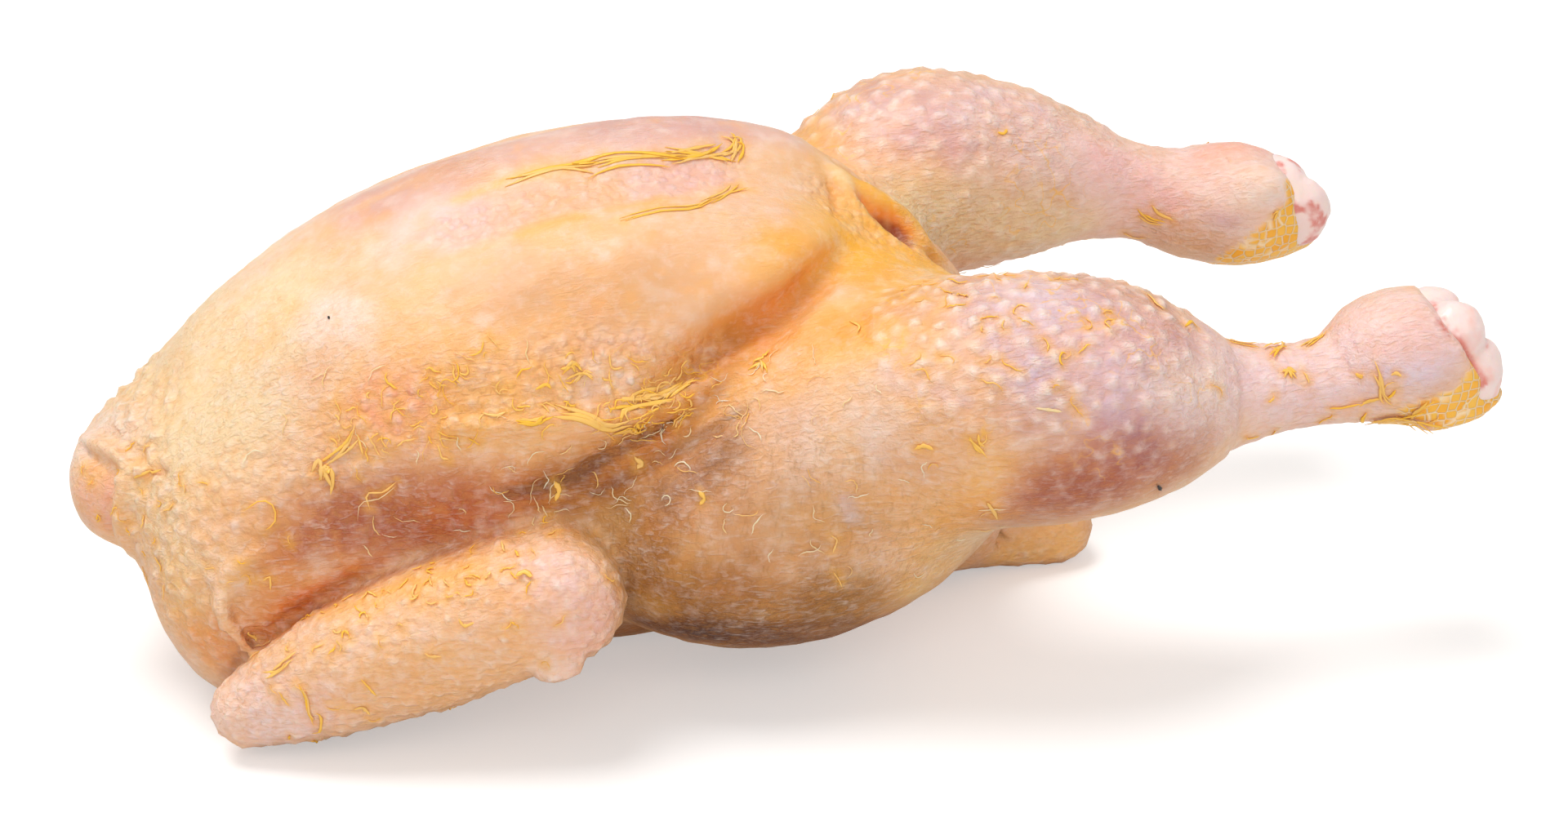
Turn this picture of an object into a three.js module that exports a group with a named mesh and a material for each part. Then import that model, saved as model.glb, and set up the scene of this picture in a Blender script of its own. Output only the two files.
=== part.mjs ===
// A whole raw chicken with its head and feet off, lying on its back with the breast up.
// Millimetres. +X runs from the neck to the hocks, -Y is the bird's right side, +Z is up.
//
// The bird is one body. Each lump of meat is a distance function: ellipsoids for the trunk and
// thighs, tapering limbs for the neck, drumsticks, wings and tail. They melt into each other with
// a smooth blend, folds are cut with a smooth carve, and a net laid over a grid makes the skin.
import * as THREE from 'three';

// ---- sampling grid ----
const CELL = 5.7;          // grid step over most of the bird
const FINE_CELL = 3.4;     // closer step across the midline, where the vent slit is
const FINE_HALF = 10;      // half width of that closer band
const ROOM = 8;            // free room kept round the bird
const PRESS = 3;           // height at which the soft underside is pressed flat

// ---- overall sizes ----
const TRUNK_LENGTH = 180;  // rib cage, end to end
const TRUNK_WIDTH = 100;
const BREAST_PITCH = 14;   // degrees the breast rises towards the vent
const HOCK_X = 184;        // where the longer leg ends
const NECK_X = -142;       // where the neck stump ends
const HALF_SPAN = 92;      // room the folded wings and drumsticks take to each side
const BREAST_TOP = 128;

// ---- shapes: each maker returns a function of x, y, z giving the distance to the skin ----

const degrees = (a) => THREE.MathUtils.degToRad(a);

function ellipsoid({ at, radii, yaw = 0, pitch = 0 }) {
  const turn = new THREE.Matrix4().makeRotationZ(degrees(yaw))
    .multiply(new THREE.Matrix4().makeRotationY(-degrees(pitch)));
  const e = turn.elements;
  const [a, b, c] = radii;
  return (x, y, z) => {
    const dx = x - at[0], dy = y - at[1], dz = z - at[2];
    const u = (dx * e[0] + dy * e[1] + dz * e[2]) / a;
    const v = (dx * e[4] + dy * e[5] + dz * e[6]) / b;
    const w = (dx * e[8] + dy * e[9] + dz * e[10]) / c;
    const reach = Math.hypot(u, v, w);
    const slope = Math.hypot(u / a, v / b, w / c);
    return reach * (reach - 1) / Math.max(slope, 1e-9);
  };
}

// A tapering limb through stations [x, y, z, radius], squashed along one direction if asked.
function limb(stations, { steps = 6, along = [0, 1, 0], squash = 1 } = {}) {
  const path = new THREE.CatmullRomCurve3(
    stations.map(([x, y, z]) => new THREE.Vector3(x, y, z)), false, 'catmullrom', 0.5);
  const girth = new THREE.CatmullRomCurve3(
    stations.map((s) => new THREE.Vector3(s[3], 0, 0)), false, 'catmullrom', 0.5);
  const count = (stations.length - 1) * steps;
  const knots = Array.from({ length: count + 1 }, (_, i) => {
    const p = path.getPoint(i / count);
    return [p.x, p.y, p.z, girth.getPoint(i / count).x];
  });
  const flat = new THREE.Vector3(...along).normalize();
  const stretch = 1 / squash - 1;
  const pieces = knots.slice(1).map((b, i) => piece(knots[i], b, flat, stretch));
  return (x, y, z) => {
    let nearest = Infinity;
    for (const distance of pieces) nearest = Math.min(nearest, distance(x, y, z));
    return nearest;
  };
}

// One straight piece of a limb, from a to b.
function piece(a, b, flat, stretch) {
  const bx = b[0] - a[0], by = b[1] - a[1], bz = b[2] - a[2];
  const length2 = bx * bx + by * by + bz * bz;
  return (x, y, z) => {
    let px = x - a[0], py = y - a[1], pz = z - a[2];
    const t = THREE.MathUtils.clamp((px * bx + py * by + pz * bz) / length2, 0, 1);
    px -= t * bx; py -= t * by; pz -= t * bz;
    const f = stretch * (px * flat.x + py * flat.y + pz * flat.z);
    return Math.hypot(px + f * flat.x, py + f * flat.y, pz + f * flat.z)
      - (a[3] + t * (b[3] - a[3]));
  };
}

// ---- how shapes meet ----

function softMin(a, b, width) {
  const h = Math.max(width - Math.abs(a - b), 0) / width;
  return Math.min(a, b) - h * h * width / 4;
}
const melt = (width, ...shapes) => (x, y, z) =>
  shapes.map((shape) => shape(x, y, z)).reduce((a, b) => softMin(a, b, width));
const carve = (width, body, groove) => (x, y, z) =>
  -softMin(-body(x, y, z), groove(x, y, z), width);
const leftOf = (shape) => (x, y, z) => shape(x, -y, z);
const bothSides = (shape) => (x, y, z) => shape(x, -Math.abs(y), z);

// ---- the bird ----

function trunk() {
  const half = TRUNK_LENGTH / 2;
  const breast = bothSides(ellipsoid(
    { at: [-36, -20, 69.5], radii: [half - 5, 38, 43], yaw: -4, pitch: BREAST_PITCH }));
  const ribs = ellipsoid({ at: [-36, 0, 62], radii: [half, TRUNK_WIDTH / 2, 50], pitch: 11 });
  const back = ellipsoid({ at: [-14, 0, 38], radii: [half - 4, 42, 36] });
  const keel = limb([[-104, 0, 79, 8], [-66, 0, 101.5, 10], [-14, 0, 114.5, 10.5],
    [20, 0, 112, 9.5], [34, 0, 105, 7]]);
  const shoulders = bothSides(ellipsoid({ at: [-97, -24, 34], radii: [29, 25, 33] }));
  const belly = ellipsoid({ at: [38, 0, 56], radii: [38, 40, 42] });
  const chest = melt(18, melt(16, melt(20, melt(14, breast, ribs), back), keel), shoulders);
  return melt(20, chest, belly);
}

const neckStump = () => limb([[-102, 0, 53, 25], [-119, 0, 52, 20], [-130, 0, 50, 12.5]],
  { squash: 1.2 });

const tail = () => limb([[54, 0, 27, 24], [78, 0, 15, 13.5], [94, 0, 11.2, 10.5]],
  { along: [0, 0, 1], squash: 0.9 });

// A leg: the thigh against the trunk, the drumstick out to the hock, and the web of skin
// between the belly and the drumstick.
function leg({ thigh, drumstick, web }) {
  return melt(12, melt(12, ellipsoid(thigh), limb(drumstick)), limb(web, { steps: 2 }));
}

const rightLeg = () => leg({
  thigh: { at: [18, -42, 50.5], radii: [54, 30, 37.5], yaw: 6, pitch: 4 },
  drumstick: [[32, -50, 70, 25], [54, -56, 73.5, 28], [77, -58, 73, 28], [96, -57.6, 70.8, 22.2],
    [106, -57.4, 69.9, 16], [116, -57.2, 69.2, 12.2], [126, -57, 69.3, 10.4],
    [136, -56.8, 69.6, 9.9], [147, -56.6, 70.8, 11.3], [156, -56.4, 74.4, 15.3],
    [165, -56, 73.6, 15.8], [HOCK_X - 10, -56, 70, 11]],
  web: [[36, -16, 86, 13], [54, -34, 80, 15]],
});

const leftLeg = () => leg({
  thigh: { at: [18, 40, 49.5], radii: [54, 30, 37.5], yaw: -6, pitch: 6 },
  drumstick: [[52, 43, 81, 23], [70, 47, 88, 26], [89, 48, 87, 23.3], [100, 47.2, 85.5, 20],
    [110, 46.5, 84, 16.6], [120, 45.8, 81.2, 13.4], [131, 45, 78.3, 12.2], [142, 44, 75.2, 13.6],
    [153, 43.5, 74, 15.5], [162, 43, 72.4, 13.6], [169, 42, 70, 9.6]],
  web: [[36, 16, 86, 13], [54, 32, 84, 15]],
});

// The right wing, folded, its tip cut off at the wrist: the forearm lies along the side from the
// wrist on the board up to the elbow, and the upper arm is tucked behind it.
function rightWing() {
  const forearm = limb([[-108.6, -51.8, 14.6, 9.4], [-97.4, -53.8, 19.8, 13], [-84.7, -56, 25, 15.7],
    [-70.3, -58.8, 30.3, 16.8], [-56.1, -62.4, 35.8, 16.6], [-41.6, -66, 39.2, 15.6]],
  { along: [0, 1, 0.2], squash: 0.85 });
  const upperArm = limb([[-84, -34, 32, 16], [-60, -46, 40, 14], [-40, -56, 44, 13]]);
  return melt(5, forearm, upperArm);
}

// The fold between breast and thigh.
const thighFold = () => limb([[46, -24, 104, 2], [35, -32, 99, 4], [16, -44, 92, 6],
  [0, -54, 89, 7], [-12, -62, 80, 7], [-26, -67, 69, 6.5], [-40, -68, 60, 5], [-50, -66, 54, 3]]);

// The slit of the vent runs down the end of the belly between two lips.
const ventLip = (side, radius) => limb([[42, side * 4, 106, radius * 0.6],
  [53, side * 7, 99, radius], [63, side * 6.5, 89.5, radius], [70, side * 3, 80, radius * 0.6]]);
const ventSlit = () => limb([[45, 0, 108, 2.2], [53, 0, 99.5, 4.2], [62, 0, 89.5, 4.2],
  [70, 0, 79, 2.2]]);

// The crease where the neck skin laps over the stump.
const neckCrease = () => limb([[-131, -14, 60, 2.5], [-134, -17, 52, 4], [-133, -17, 43, 2.5]]);

function chicken() {
  const limbs = melt(9, melt(14, melt(10, trunk(), neckStump()), tail()), rightLeg(), leftLeg());
  let body = limbs;
  body = carve(14, carve(14, body, thighFold()), leftOf(thighFold()));
  body = melt(8, body, ventLip(-1, 3.6), ventLip(1, 4.6));
  body = carve(5, body, ventSlit());
  body = melt(6, body, rightWing(), leftOf(rightWing()));
  return carve(6, body, neckCrease());
}

// ---- the net of skin ----

// Grid lines from low to high, closer together within FINE_HALF of zero when fine is set.
function gridLines(low, high, fine) {
  const lines = [low];
  while (lines.at(-1) < high) {
    const close = fine && Math.abs(lines.at(-1) + CELL / 2) < FINE_HALF;
    lines.push(lines.at(-1) + (close ? FINE_CELL : CELL));
  }
  return lines;
}

function sample(field, lines) {
  const [xs, ys, zs] = lines;
  const values = new Float64Array(xs.length * ys.length * zs.length);
  let n = 0;
  for (const x of xs) for (const y of ys) for (const z of zs) values[n++] = field(x, y, z);
  return values;
}

// Moves a point along the slope of the field until it lies on the skin.
function settle(field, p) {
  const h = 0.05;
  for (let round = 0; round < 4; round++) {
    const d = field(p.x, p.y, p.z);
    const slope = new THREE.Vector3(
      field(p.x + h, p.y, p.z) - d, field(p.x, p.y + h, p.z) - d, field(p.x, p.y, p.z + h) - d);
    const steep = slope.length() / h;
    if (steep < 0.2) return p;
    p.addScaledVector(slope.normalize(), -THREE.MathUtils.clamp(d / steep, -CELL / 4, CELL / 4));
  }
  return p;
}

// The corners of a grid cell are numbered by bits: 4 for x, 2 for y, 1 for z.
const BITS = [4, 2, 1];
const offset = (corner) => BITS.map((bit) => (corner & bit ? 1 : 0));
const EDGES = [...Array(8).keys()].flatMap((corner) =>
  BITS.filter((bit) => !(corner & bit)).map((bit) => [corner, corner | bit]));
const FACES = BITS.flatMap((bit) => [0, bit].map((side) =>
  EDGES.filter(([a, b]) => (a & bit) === side && (b & bit) === side)));

// The cut edges of a cell, in groups that the skin joins up within the cell. Where all four
// edges of a face are cut, the skin passes round each inside corner by itself.
function sheets(isInside) {
  const cut = EDGES.filter(([a, b]) => isInside[a] !== isInside[b]);
  const sheet = new Map(cut.map((edge) => [edge, edge]));
  const join = ([first, second]) => {
    const from = sheet.get(first), to = sheet.get(second);
    for (const edge of cut) if (sheet.get(edge) === from) sheet.set(edge, to);
  };
  for (const face of FACES) {
    const crossed = face.filter((edge) => sheet.has(edge));
    if (crossed.length === 2) join(crossed);
    if (crossed.length === 4)
      for (const corner of new Set(crossed.flat()))
        if (isInside[corner]) join(crossed.filter((edge) => edge.includes(corner)));
  }
  return [...new Set(sheet.values())].map((name) => cut.filter((e) => sheet.get(e) === name));
}

// A vertex in every cell for each sheet of skin that passes through it, and a quad across every
// grid edge that the skin crosses, turned to face outwards.
function skinNet(field, lines) {
  const size = lines.map((l) => l.length);
  const values = sample(field, lines);
  const at = ([i, j, k]) => (i * size[1] + j) * size[2] + k;
  const shifted = (cell, corner) => offset(corner).map((step, n) => cell[n] + step);
  const vertices = [];
  const vertexOf = new Map(); // cell and edge to vertex
  const key = (cell, [a, b]) => at(cell) * 64 + a * 8 + b;
  const cells = [];
  for (let i = 0; i < size[0] - 1; i++)
    for (let j = 0; j < size[1] - 1; j++)
      for (let k = 0; k < size[2] - 1; k++) {
        const cell = [i, j, k];
        const signs = [...Array(8).keys()].map((corner) => values[at(shifted(cell, corner))] < 0);
        if (signs.every((s) => s === signs[0])) continue;
        cells.push([cell, signs]);
        for (const sheet of sheets(signs)) {
          for (const edge of sheet) vertexOf.set(key(cell, edge), vertices.length);
          vertices.push(settle(field, middle(cell, sheet)));
        }
      }
  return { vertices, quads: cells.flatMap(([cell, signs]) => quadsAt(cell, signs)) };

  // The middle of the places where the skin crosses the edges of a sheet.
  function middle(cell, sheet) {
    const sum = new THREE.Vector3();
    for (const [a, b] of sheet) {
      const [ga, gb] = [shifted(cell, a), shifted(cell, b)];
      const [va, vb] = [values[at(ga)], values[at(gb)]];
      const p = lines.map((l, n) => THREE.MathUtils.lerp(l[ga[n]], l[gb[n]], va / (va - vb)));
      sum.add(new THREE.Vector3(...p));
    }
    return sum.divideScalar(sheet.length);
  }

  // The quads across the three edges that leave the lowest corner of a cell.
  function quadsAt(cell, signs) {
    return BITS.flatMap((bit, axis) => {
      if (signs[0] === signs[bit]) return [];
      const [u, v] = [BITS[(axis + 1) % 3], BITS[(axis + 2) % 3]];
      const ring = [0, u, u | v, v].map((back) =>
        vertexOf.get(key(shifted(cell, back).map((c, n) => 2 * cell[n] - c), [back, back | bit])));
      return [signs[0] ? ring : ring.reverse()];
    });
  }
}

// Two triangles for a quad, split along its shorter diagonal.
function split([a, b, c, d], vertices) {
  return vertices[a].distanceTo(vertices[c]) < vertices[b].distanceTo(vertices[d])
    ? [a, b, c, a, c, d] : [b, c, d, b, d, a];
}

function chickenGeometry() {
  const field = chicken();
  const { vertices, quads } = skinNet(field, [
    gridLines(NECK_X - ROOM, HOCK_X + ROOM, false),
    gridLines(-HALF_SPAN, HALF_SPAN, true),
    gridLines(-ROOM, BREAST_TOP + ROOM, false),
  ]);
  for (const p of vertices) p.z = Math.max(p.z, PRESS);
  const geometry = new THREE.BufferGeometry().setFromPoints(vertices);
  geometry.setIndex(quads.flatMap((quad) => split(quad, vertices)));
  geometry.computeBoundingBox();
  const middle = geometry.boundingBox.getCenter(new THREE.Vector3());
  geometry.translate(-middle.x, -middle.y, -PRESS);
  geometry.computeVertexNormals();
  return geometry;
}

const skin = new THREE.MeshStandardMaterial({ color: '#f0c096', roughness: 0.42, metalness: 0 });
const bird = new THREE.Mesh(chickenGeometry(), skin);
bird.name = 'whole_chicken';

const group = new THREE.Group();
group.name = 'whole_raw_chicken';
group.add(bird);

export default group;
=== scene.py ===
"""A whole raw chicken, plucked and drawn, lying on its back on a white board.

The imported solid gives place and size. This file lays a fine skin over it, with its folds, follicles,
leg scales and colours, and adds the bare joint ends, the shreds of yellow outer skin, the stray hairs
and two quill stubs. Shapes are worked out in millimetres in the bird's own working frame: +X from
neck to hocks, -Y the bird's right side, +Z up, with the neck, trunk and tail on the plane y = 0.
"""

import logging
import math
from dataclasses import dataclass
from enum import Enum
from typing import Callable, Iterable, Protocol

import bpy
import numpy as np
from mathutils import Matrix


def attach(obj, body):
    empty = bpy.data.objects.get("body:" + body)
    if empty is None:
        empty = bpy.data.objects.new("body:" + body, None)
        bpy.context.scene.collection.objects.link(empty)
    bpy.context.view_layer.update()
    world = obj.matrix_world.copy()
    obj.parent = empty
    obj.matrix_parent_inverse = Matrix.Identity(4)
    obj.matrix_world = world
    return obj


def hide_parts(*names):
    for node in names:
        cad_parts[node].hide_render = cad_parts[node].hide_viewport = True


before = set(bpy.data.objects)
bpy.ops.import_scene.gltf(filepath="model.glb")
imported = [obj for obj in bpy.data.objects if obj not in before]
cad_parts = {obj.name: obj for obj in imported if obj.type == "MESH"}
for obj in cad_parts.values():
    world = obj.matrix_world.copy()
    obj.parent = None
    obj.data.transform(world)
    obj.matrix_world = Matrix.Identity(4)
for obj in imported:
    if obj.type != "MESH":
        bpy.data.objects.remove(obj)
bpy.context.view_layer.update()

Array = np.ndarray
Station = tuple[float, float, float, float]
Field = Callable[[Array], Array]
LOG = logging.getLogger("chicken")
MM = 0.001
# From the working frame to the part's frame, whose origin is under the middle of the bird.
TO_PART = np.array([-21.266, 3.520, -3.0])
PRESS = 3.0  # height, in the working frame, of the board that presses the back flat
NODE = "whole_chicken"
SKIN_STEP, QUICK_STEP = 1.4, 2.2
HASH_PRIMES = (73856093, 19349663, 83492791)
SEED_PRIME = 2654435761


# ---------------------------------------------------------------- numbers and colours


def linear(hex_colour: str) -> tuple[float, float, float]:
    """Turns an sRGB hex colour into linear red, green and blue.

    Args:
        hex_colour: six hex digits after a hash sign.

    Returns:
        The three linear values from 0 to 1.
    """
    srgb = [int(hex_colour[i : i + 2], 16) / 255 for i in (1, 3, 5)]
    return tuple(c / 12.92 if c <= 0.04045 else ((c + 0.055) / 1.055) ** 2.4 for c in srgb)


def smooth_step(low: float, high: float, x: Array) -> Array:
    """Rises smoothly from 0 where x is low to 1 where x is high.

    Args:
        low: where the rise starts.
        high: where it ends; lower than low for a fall.
        x: the values.

    Returns:
        3 t squared minus 2 t cubed, with t the share of the way from low to high.
    """
    t = np.clip((x - low) / (high - low), 0, 1)
    return t * t * (3 - 2 * t)


def soft_min(a: Array, b: Array, width: float) -> Array:
    """The smaller of two distances, rounded where they are within a width of each other.

    Args:
        a: distances to one shape.
        b: distances to the other.
        width: the distance over which the two melt together.

    Returns:
        The minimum, less h squared times a quarter of the width, with h the share of overlap.
    """
    h = np.maximum(width - np.abs(a - b), 0) / width
    return np.minimum(a, b) - h * h * (width / 4)


def carved(body: Array, groove: Array, width: float) -> Array:
    """Cuts a groove out of a body with rounded edges.

    Args:
        body: distances to the body.
        groove: distances to the groove.
        width: the distance over which the edges are rounded.

    Returns:
        The distances to what is left.
    """
    return -soft_min(-body, groove, width)


def right_side(p: Array) -> Array:
    """Brings the points of the bird's left side over to its right side.

    Args:
        p: points in millimetres.

    Returns:
        The points with y made negative.
    """
    q = p.copy()
    q[:, 1] = -np.abs(q[:, 1])
    return q


class Noise:
    """Seeded noise over space, worked out for whole arrays of points."""

    @staticmethod
    def hashed(cell: Array, seed: int) -> Array:
        """A number from 0 to 1 for every lattice cell.

        Args:
            cell: whole numbers, one row of three a point.
            seed: picks one of many sets of numbers.

        Returns:
            The cell's numbers multiplied by large primes, mixed by xor and shifts, as a share.
        """
        c = cell.astype(np.int64)
        h = np.bitwise_xor.reduce(c * HASH_PRIMES, axis=1) ^ (seed * SEED_PRIME)
        h = h & 0xFFFFFFFF
        h = ((h ^ (h >> 15)) * 2246822519) & 0xFFFFFFFF
        h = ((h ^ (h >> 13)) * 3266489917) & 0xFFFFFFFF
        return ((h ^ (h >> 16)) & 0xFFFFFF) / float(0xFFFFFF)

    @classmethod
    def value(cls, p: Array, size: float, seed: int) -> Array:
        """Smooth noise from -1 to 1.

        Args:
            p: points in millimetres.
            size: the spacing of the lattice in millimetres.
            seed: picks the pattern.

        Returns:
            The eight lattice values round each point, weighted by smooth steps along x, y and z.
        """
        q = p / size
        base = np.floor(q)
        t = q - base
        t = t * t * (3 - 2 * t)
        out = np.zeros(len(p))
        for i in (0, 1):
            for j in (0, 1):
                for k in (0, 1):
                    corner = np.array([i, j, k])
                    w = np.where(corner, t, 1 - t).prod(1)
                    out += w * cls.hashed(base + corner, seed)
        return out * 2 - 1

    @classmethod
    def fractal(cls, p: Array, size: float, seed: int, octaves: int = 3) -> Array:
        """Noise with finer noise on top, each layer half the size and half the strength.

        Args:
            p: points in millimetres.
            size: the spacing of the coarsest layer.
            seed: picks the pattern.
            octaves: how many layers.

        Returns:
            The sum of the layers over the sum of their strengths.
        """
        total, weight = np.zeros(len(p)), 0.0
        for octave in range(octaves):
            strength = 0.5**octave
            total += strength * cls.value(p, size / 2**octave, seed + 17 * octave)
            weight += strength
        return total / weight


class Pattern(Enum):
    """The noises in use: size in millimetres, seed and number of layers."""

    DRIFT = (46.0, 3, 3)  # broad changes of ground colour
    FRAY = (9.0, 5, 3)  # edges of blushes
    SPECK = (4.0, 9, 2)
    CLOUD = (19.0, 13, 3)
    VEIN = (10.0, 23, 3)
    BROAD_LUMPS = (22.0, 31, 2)
    LUMPS = (8.0, 37, 2)
    PEBBLES = (3.2, 41, 1)
    ROUGH = (16.0, 51, 2)  # where wrinkles are strong
    KNOBS = (5.0, 61, 3)
    BLOTS = (4.0, 63, 3)
    FAT_SPOTS = (2.6, 65, 1)
    CUT_EDGE = (7.0, 67, 2)
    BLOOD = (4.0, 69, 1)
    TRACT_EDGE = (12.0, 71, 2)
    STAIN_EDGE = (2.5, 91, 1)
    SCALE_EDGE = (5.0, 93, 2)

    def at(self, p: Array) -> Array:
        """The noise at each point, from -1 to 1."""
        return Noise.fractal(p, *self.value)


# ---------------------------------------------------------------- shapes of flesh


class Shape(Protocol):
    """Anything that gives distances to its surface, less than 0 inside it."""

    def distance(self, p: Array) -> Array:
        """The distance of each point in millimetres."""


@dataclass(frozen=True)
class Part:
    """A shape melted onto a form or cut out of it, with the width of the rounded seam."""

    shape: Shape
    width: float = 1.0
    paired: bool = False
    cut: bool = False


def formed(p: Array, parts: Iterable[Part]) -> Array:
    """Builds a form up from its parts in order.

    Args:
        p: points in millimetres.
        parts: the parts; a paired one lies on both sides of the bird.

    Returns:
        The distances to the form.
    """
    side, d = right_side(p), None
    for part in parts:
        own = part.shape.distance(side if part.paired else p)
        if d is None:
            d = own
        else:
            d = (carved if part.cut else soft_min)(d, own, part.width)
    return d


@dataclass(frozen=True)
class Ellipsoid:
    """A lump of meat: an ellipsoid turned by yaw about Z and then by pitch, which lifts its +X end."""

    at: tuple[float, float, float]
    radii: tuple[float, float, float]
    yaw: float = 0.0
    pitch: float = 0.0

    def distance(self, p: Array) -> Array:
        """Distances to the surface.

        Args:
            p: points in millimetres.

        Returns:
            Reach times (reach less 1) over the slope of the reach, which is how far out a point
            is as a share of the radius in its direction.
        """
        a, b = math.radians(self.yaw), math.radians(self.pitch)
        about_z = np.array(
            [[math.cos(a), -math.sin(a), 0], [math.sin(a), math.cos(a), 0], [0, 0, 1]]
        )
        about_y = np.array(
            [[math.cos(b), 0, -math.sin(b)], [0, 1, 0], [math.sin(b), 0, math.cos(b)]]
        )
        turned = (p - np.array(self.at, p.dtype)) @ (about_z @ about_y).astype(p.dtype)
        radii = np.array(self.radii, p.dtype)
        reach = np.linalg.norm(turned / radii, axis=1)
        slope = np.linalg.norm(turned / radii / radii, axis=1)
        return reach * (reach - 1) / np.maximum(slope, 1e-9)


def smooth_path(points: Array, steps: int) -> Array:
    """A curve through every point, with steps between each two.

    Args:
        points: one row a point; any number of columns.
        steps: how many pieces each gap is cut into.

    Returns:
        The uniform Catmull-Rom curve: a cubic of the four nearest points in each gap.
    """
    p = np.vstack([2 * points[0] - points[1], points, 2 * points[-1] - points[-2]])
    gap, t = np.divmod(np.arange((len(points) - 1) * steps) / steps, 1)
    a, b, c, d = (p[gap.astype(int) + n] for n in range(4))
    t = t[:, None]
    curve = 0.5 * (
        2 * b
        + (c - a) * t
        + (2 * a - 5 * b + 4 * c - d) * t**2
        + (3 * b - a - 3 * c + d) * t**3
    )
    return np.vstack([curve, points[-1]])


@dataclass(frozen=True)
class Limb:
    """A tapering limb, fold or groove through stations of x, y, z and radius."""

    stations: tuple[Station, ...]
    steps: int = 6
    along: tuple[float, float, float] = (0.0, 1.0, 0.0)
    squash: float = 1.0

    def distance(self, p: Array) -> Array:
        """Distances to the surface.

        Args:
            p: points in millimetres.

        Returns:
            The least over all pieces of the distance to the piece's axis less the radius there,
            with the part of that distance along the squashed direction stretched.
        """
        knots = smooth_path(np.array(self.stations), self.steps).astype(p.dtype)
        flat = np.array(self.along, p.dtype)
        flat /= np.linalg.norm(flat)
        stretch = p.dtype.type(1 / self.squash - 1)
        best = np.full(len(p), 1e9, p.dtype)
        for a, b in zip(knots[:-1], knots[1:]):
            axis = b[:3] - a[:3]
            off = p - a[:3]
            t = np.clip(off @ axis / (axis @ axis), 0, 1)
            off -= t[:, None] * axis
            if stretch:
                off += (stretch * (off @ flat))[:, None] * flat
            best = np.minimum(best, np.sqrt((off * off).sum(1)) - (a[3] + t * (b[3] - a[3])))
        return best


@dataclass(frozen=True)
class Trunk:
    """The rib cage with its two breasts, the keel, the back, the shoulders and the belly."""

    breast: Ellipsoid = Ellipsoid((-36, -20, 69.5), (85, 38, 43), -4, 14)
    ribs: Ellipsoid = Ellipsoid((-36, 0, 62), (90, 50, 50), 0, 11)
    back: Ellipsoid = Ellipsoid((-14, 0, 38), (86, 42, 36))
    keel: Limb = Limb(
        ((-104, 0, 79, 8), (-66, 0, 101.5, 10), (-14, 0, 114.5, 10.5), (20, 0, 112, 9.5),
         (34, 0, 105, 7))
    )
    shoulder: Ellipsoid = Ellipsoid((-97, -24, 34), (29, 25, 33))
    belly: Ellipsoid = Ellipsoid((38, 0, 56), (38, 40, 42))

    def distance(self, p: Array) -> Array:
        """Distances to the trunk: its lumps melted together one by one."""
        return formed(p, (
            Part(self.breast, paired=True), Part(self.ribs, 14), Part(self.back, 20),
            Part(self.keel, 16), Part(self.shoulder, 18, True), Part(self.belly, 20),
        ))


@dataclass(frozen=True)
class Leg:
    """A thigh against the trunk, the drumstick out to the hock, and the belly's web of skin."""

    thigh: Ellipsoid
    drumstick: Limb
    web: Limb

    def distance(self, p: Array) -> Array:
        """Distances to the leg: thigh, drumstick and web melted together."""
        return formed(p, (Part(self.thigh), Part(self.drumstick, 12), Part(self.web, 12)))


RIGHT_LEG = Leg(
    Ellipsoid((18, -42, 50.5), (54, 30, 37.5), 6, 4),
    Limb(
        ((32, -50, 70, 25), (54, -56, 73.5, 28), (77, -58, 73, 28), (96, -57.6, 70.8, 22.2),
         (106, -57.4, 69.9, 16), (116, -57.2, 69.2, 12.2), (126, -57, 69.3, 10.4),
         (136, -56.8, 69.6, 9.9), (147, -56.6, 70.8, 11.3), (156, -56.4, 74.4, 15.3),
         (165, -56, 73.6, 15.8), (174, -56, 70, 11))
    ),
    Limb(((36, -16, 84, 12), (54, -34, 78, 15)), 2),
)
LEFT_LEG = Leg(
    Ellipsoid((18, 40, 49.5), (54, 30, 37.5), -6, 6),
    Limb(
        ((52, 43, 81, 23), (70, 47, 88, 26), (89, 48, 87, 23.3), (100, 47.2, 85.5, 20),
         (110, 46.5, 84, 16.6), (120, 45.8, 81.2, 13.4), (131, 45, 78.3, 12.2),
         (142, 44, 75.2, 13.6), (153, 43.5, 74, 15.5), (162, 43, 72.4, 13.6), (169, 42, 70, 9.6))
    ),
    Limb(((36, 16, 86, 13), (54, 32, 84, 15)), 2),
)


@dataclass(frozen=True)
class Wing:
    """A folded wing of the right side: forearm from wrist to elbow, upper arm and skin edge."""

    forearm: Limb = Limb(
        ((-108.6, -51.8, 14.6, 9.4), (-97.4, -53.8, 19.8, 13), (-84.7, -56, 25, 15.7),
         (-70.3, -58.8, 30.3, 16.8), (-56.1, -62.4, 35.8, 16.5), (-41.5, -65.8, 39.7, 15.2)),
        along=(0, 1, 0.2), squash=0.85,
    )
    upper_arm: Limb = Limb(((-84, -34, 32, 16), (-60, -46, 40, 14), (-40, -56, 44, 13)))
    skin_edge: Limb = Limb(
        ((-106, -53, 21, 2.5), (-88, -55.5, 33, 3.6), (-68, -58, 43.5, 4), (-52, -61, 50, 3.4))
    )
    elbow_knob: Ellipsoid = Ellipsoid((-43, -73.4, 28.2), (6.2, 4.4, 3.8), 0, 8)

    def distance(self, p: Array) -> Array:
        """Distances to the wing, its points all on the bird's right side."""
        return formed(p, (Part(self.forearm), Part(self.upper_arm, 4), Part(self.skin_edge, 4),
                          Part(self.elbow_knob, 1.5)))


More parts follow.
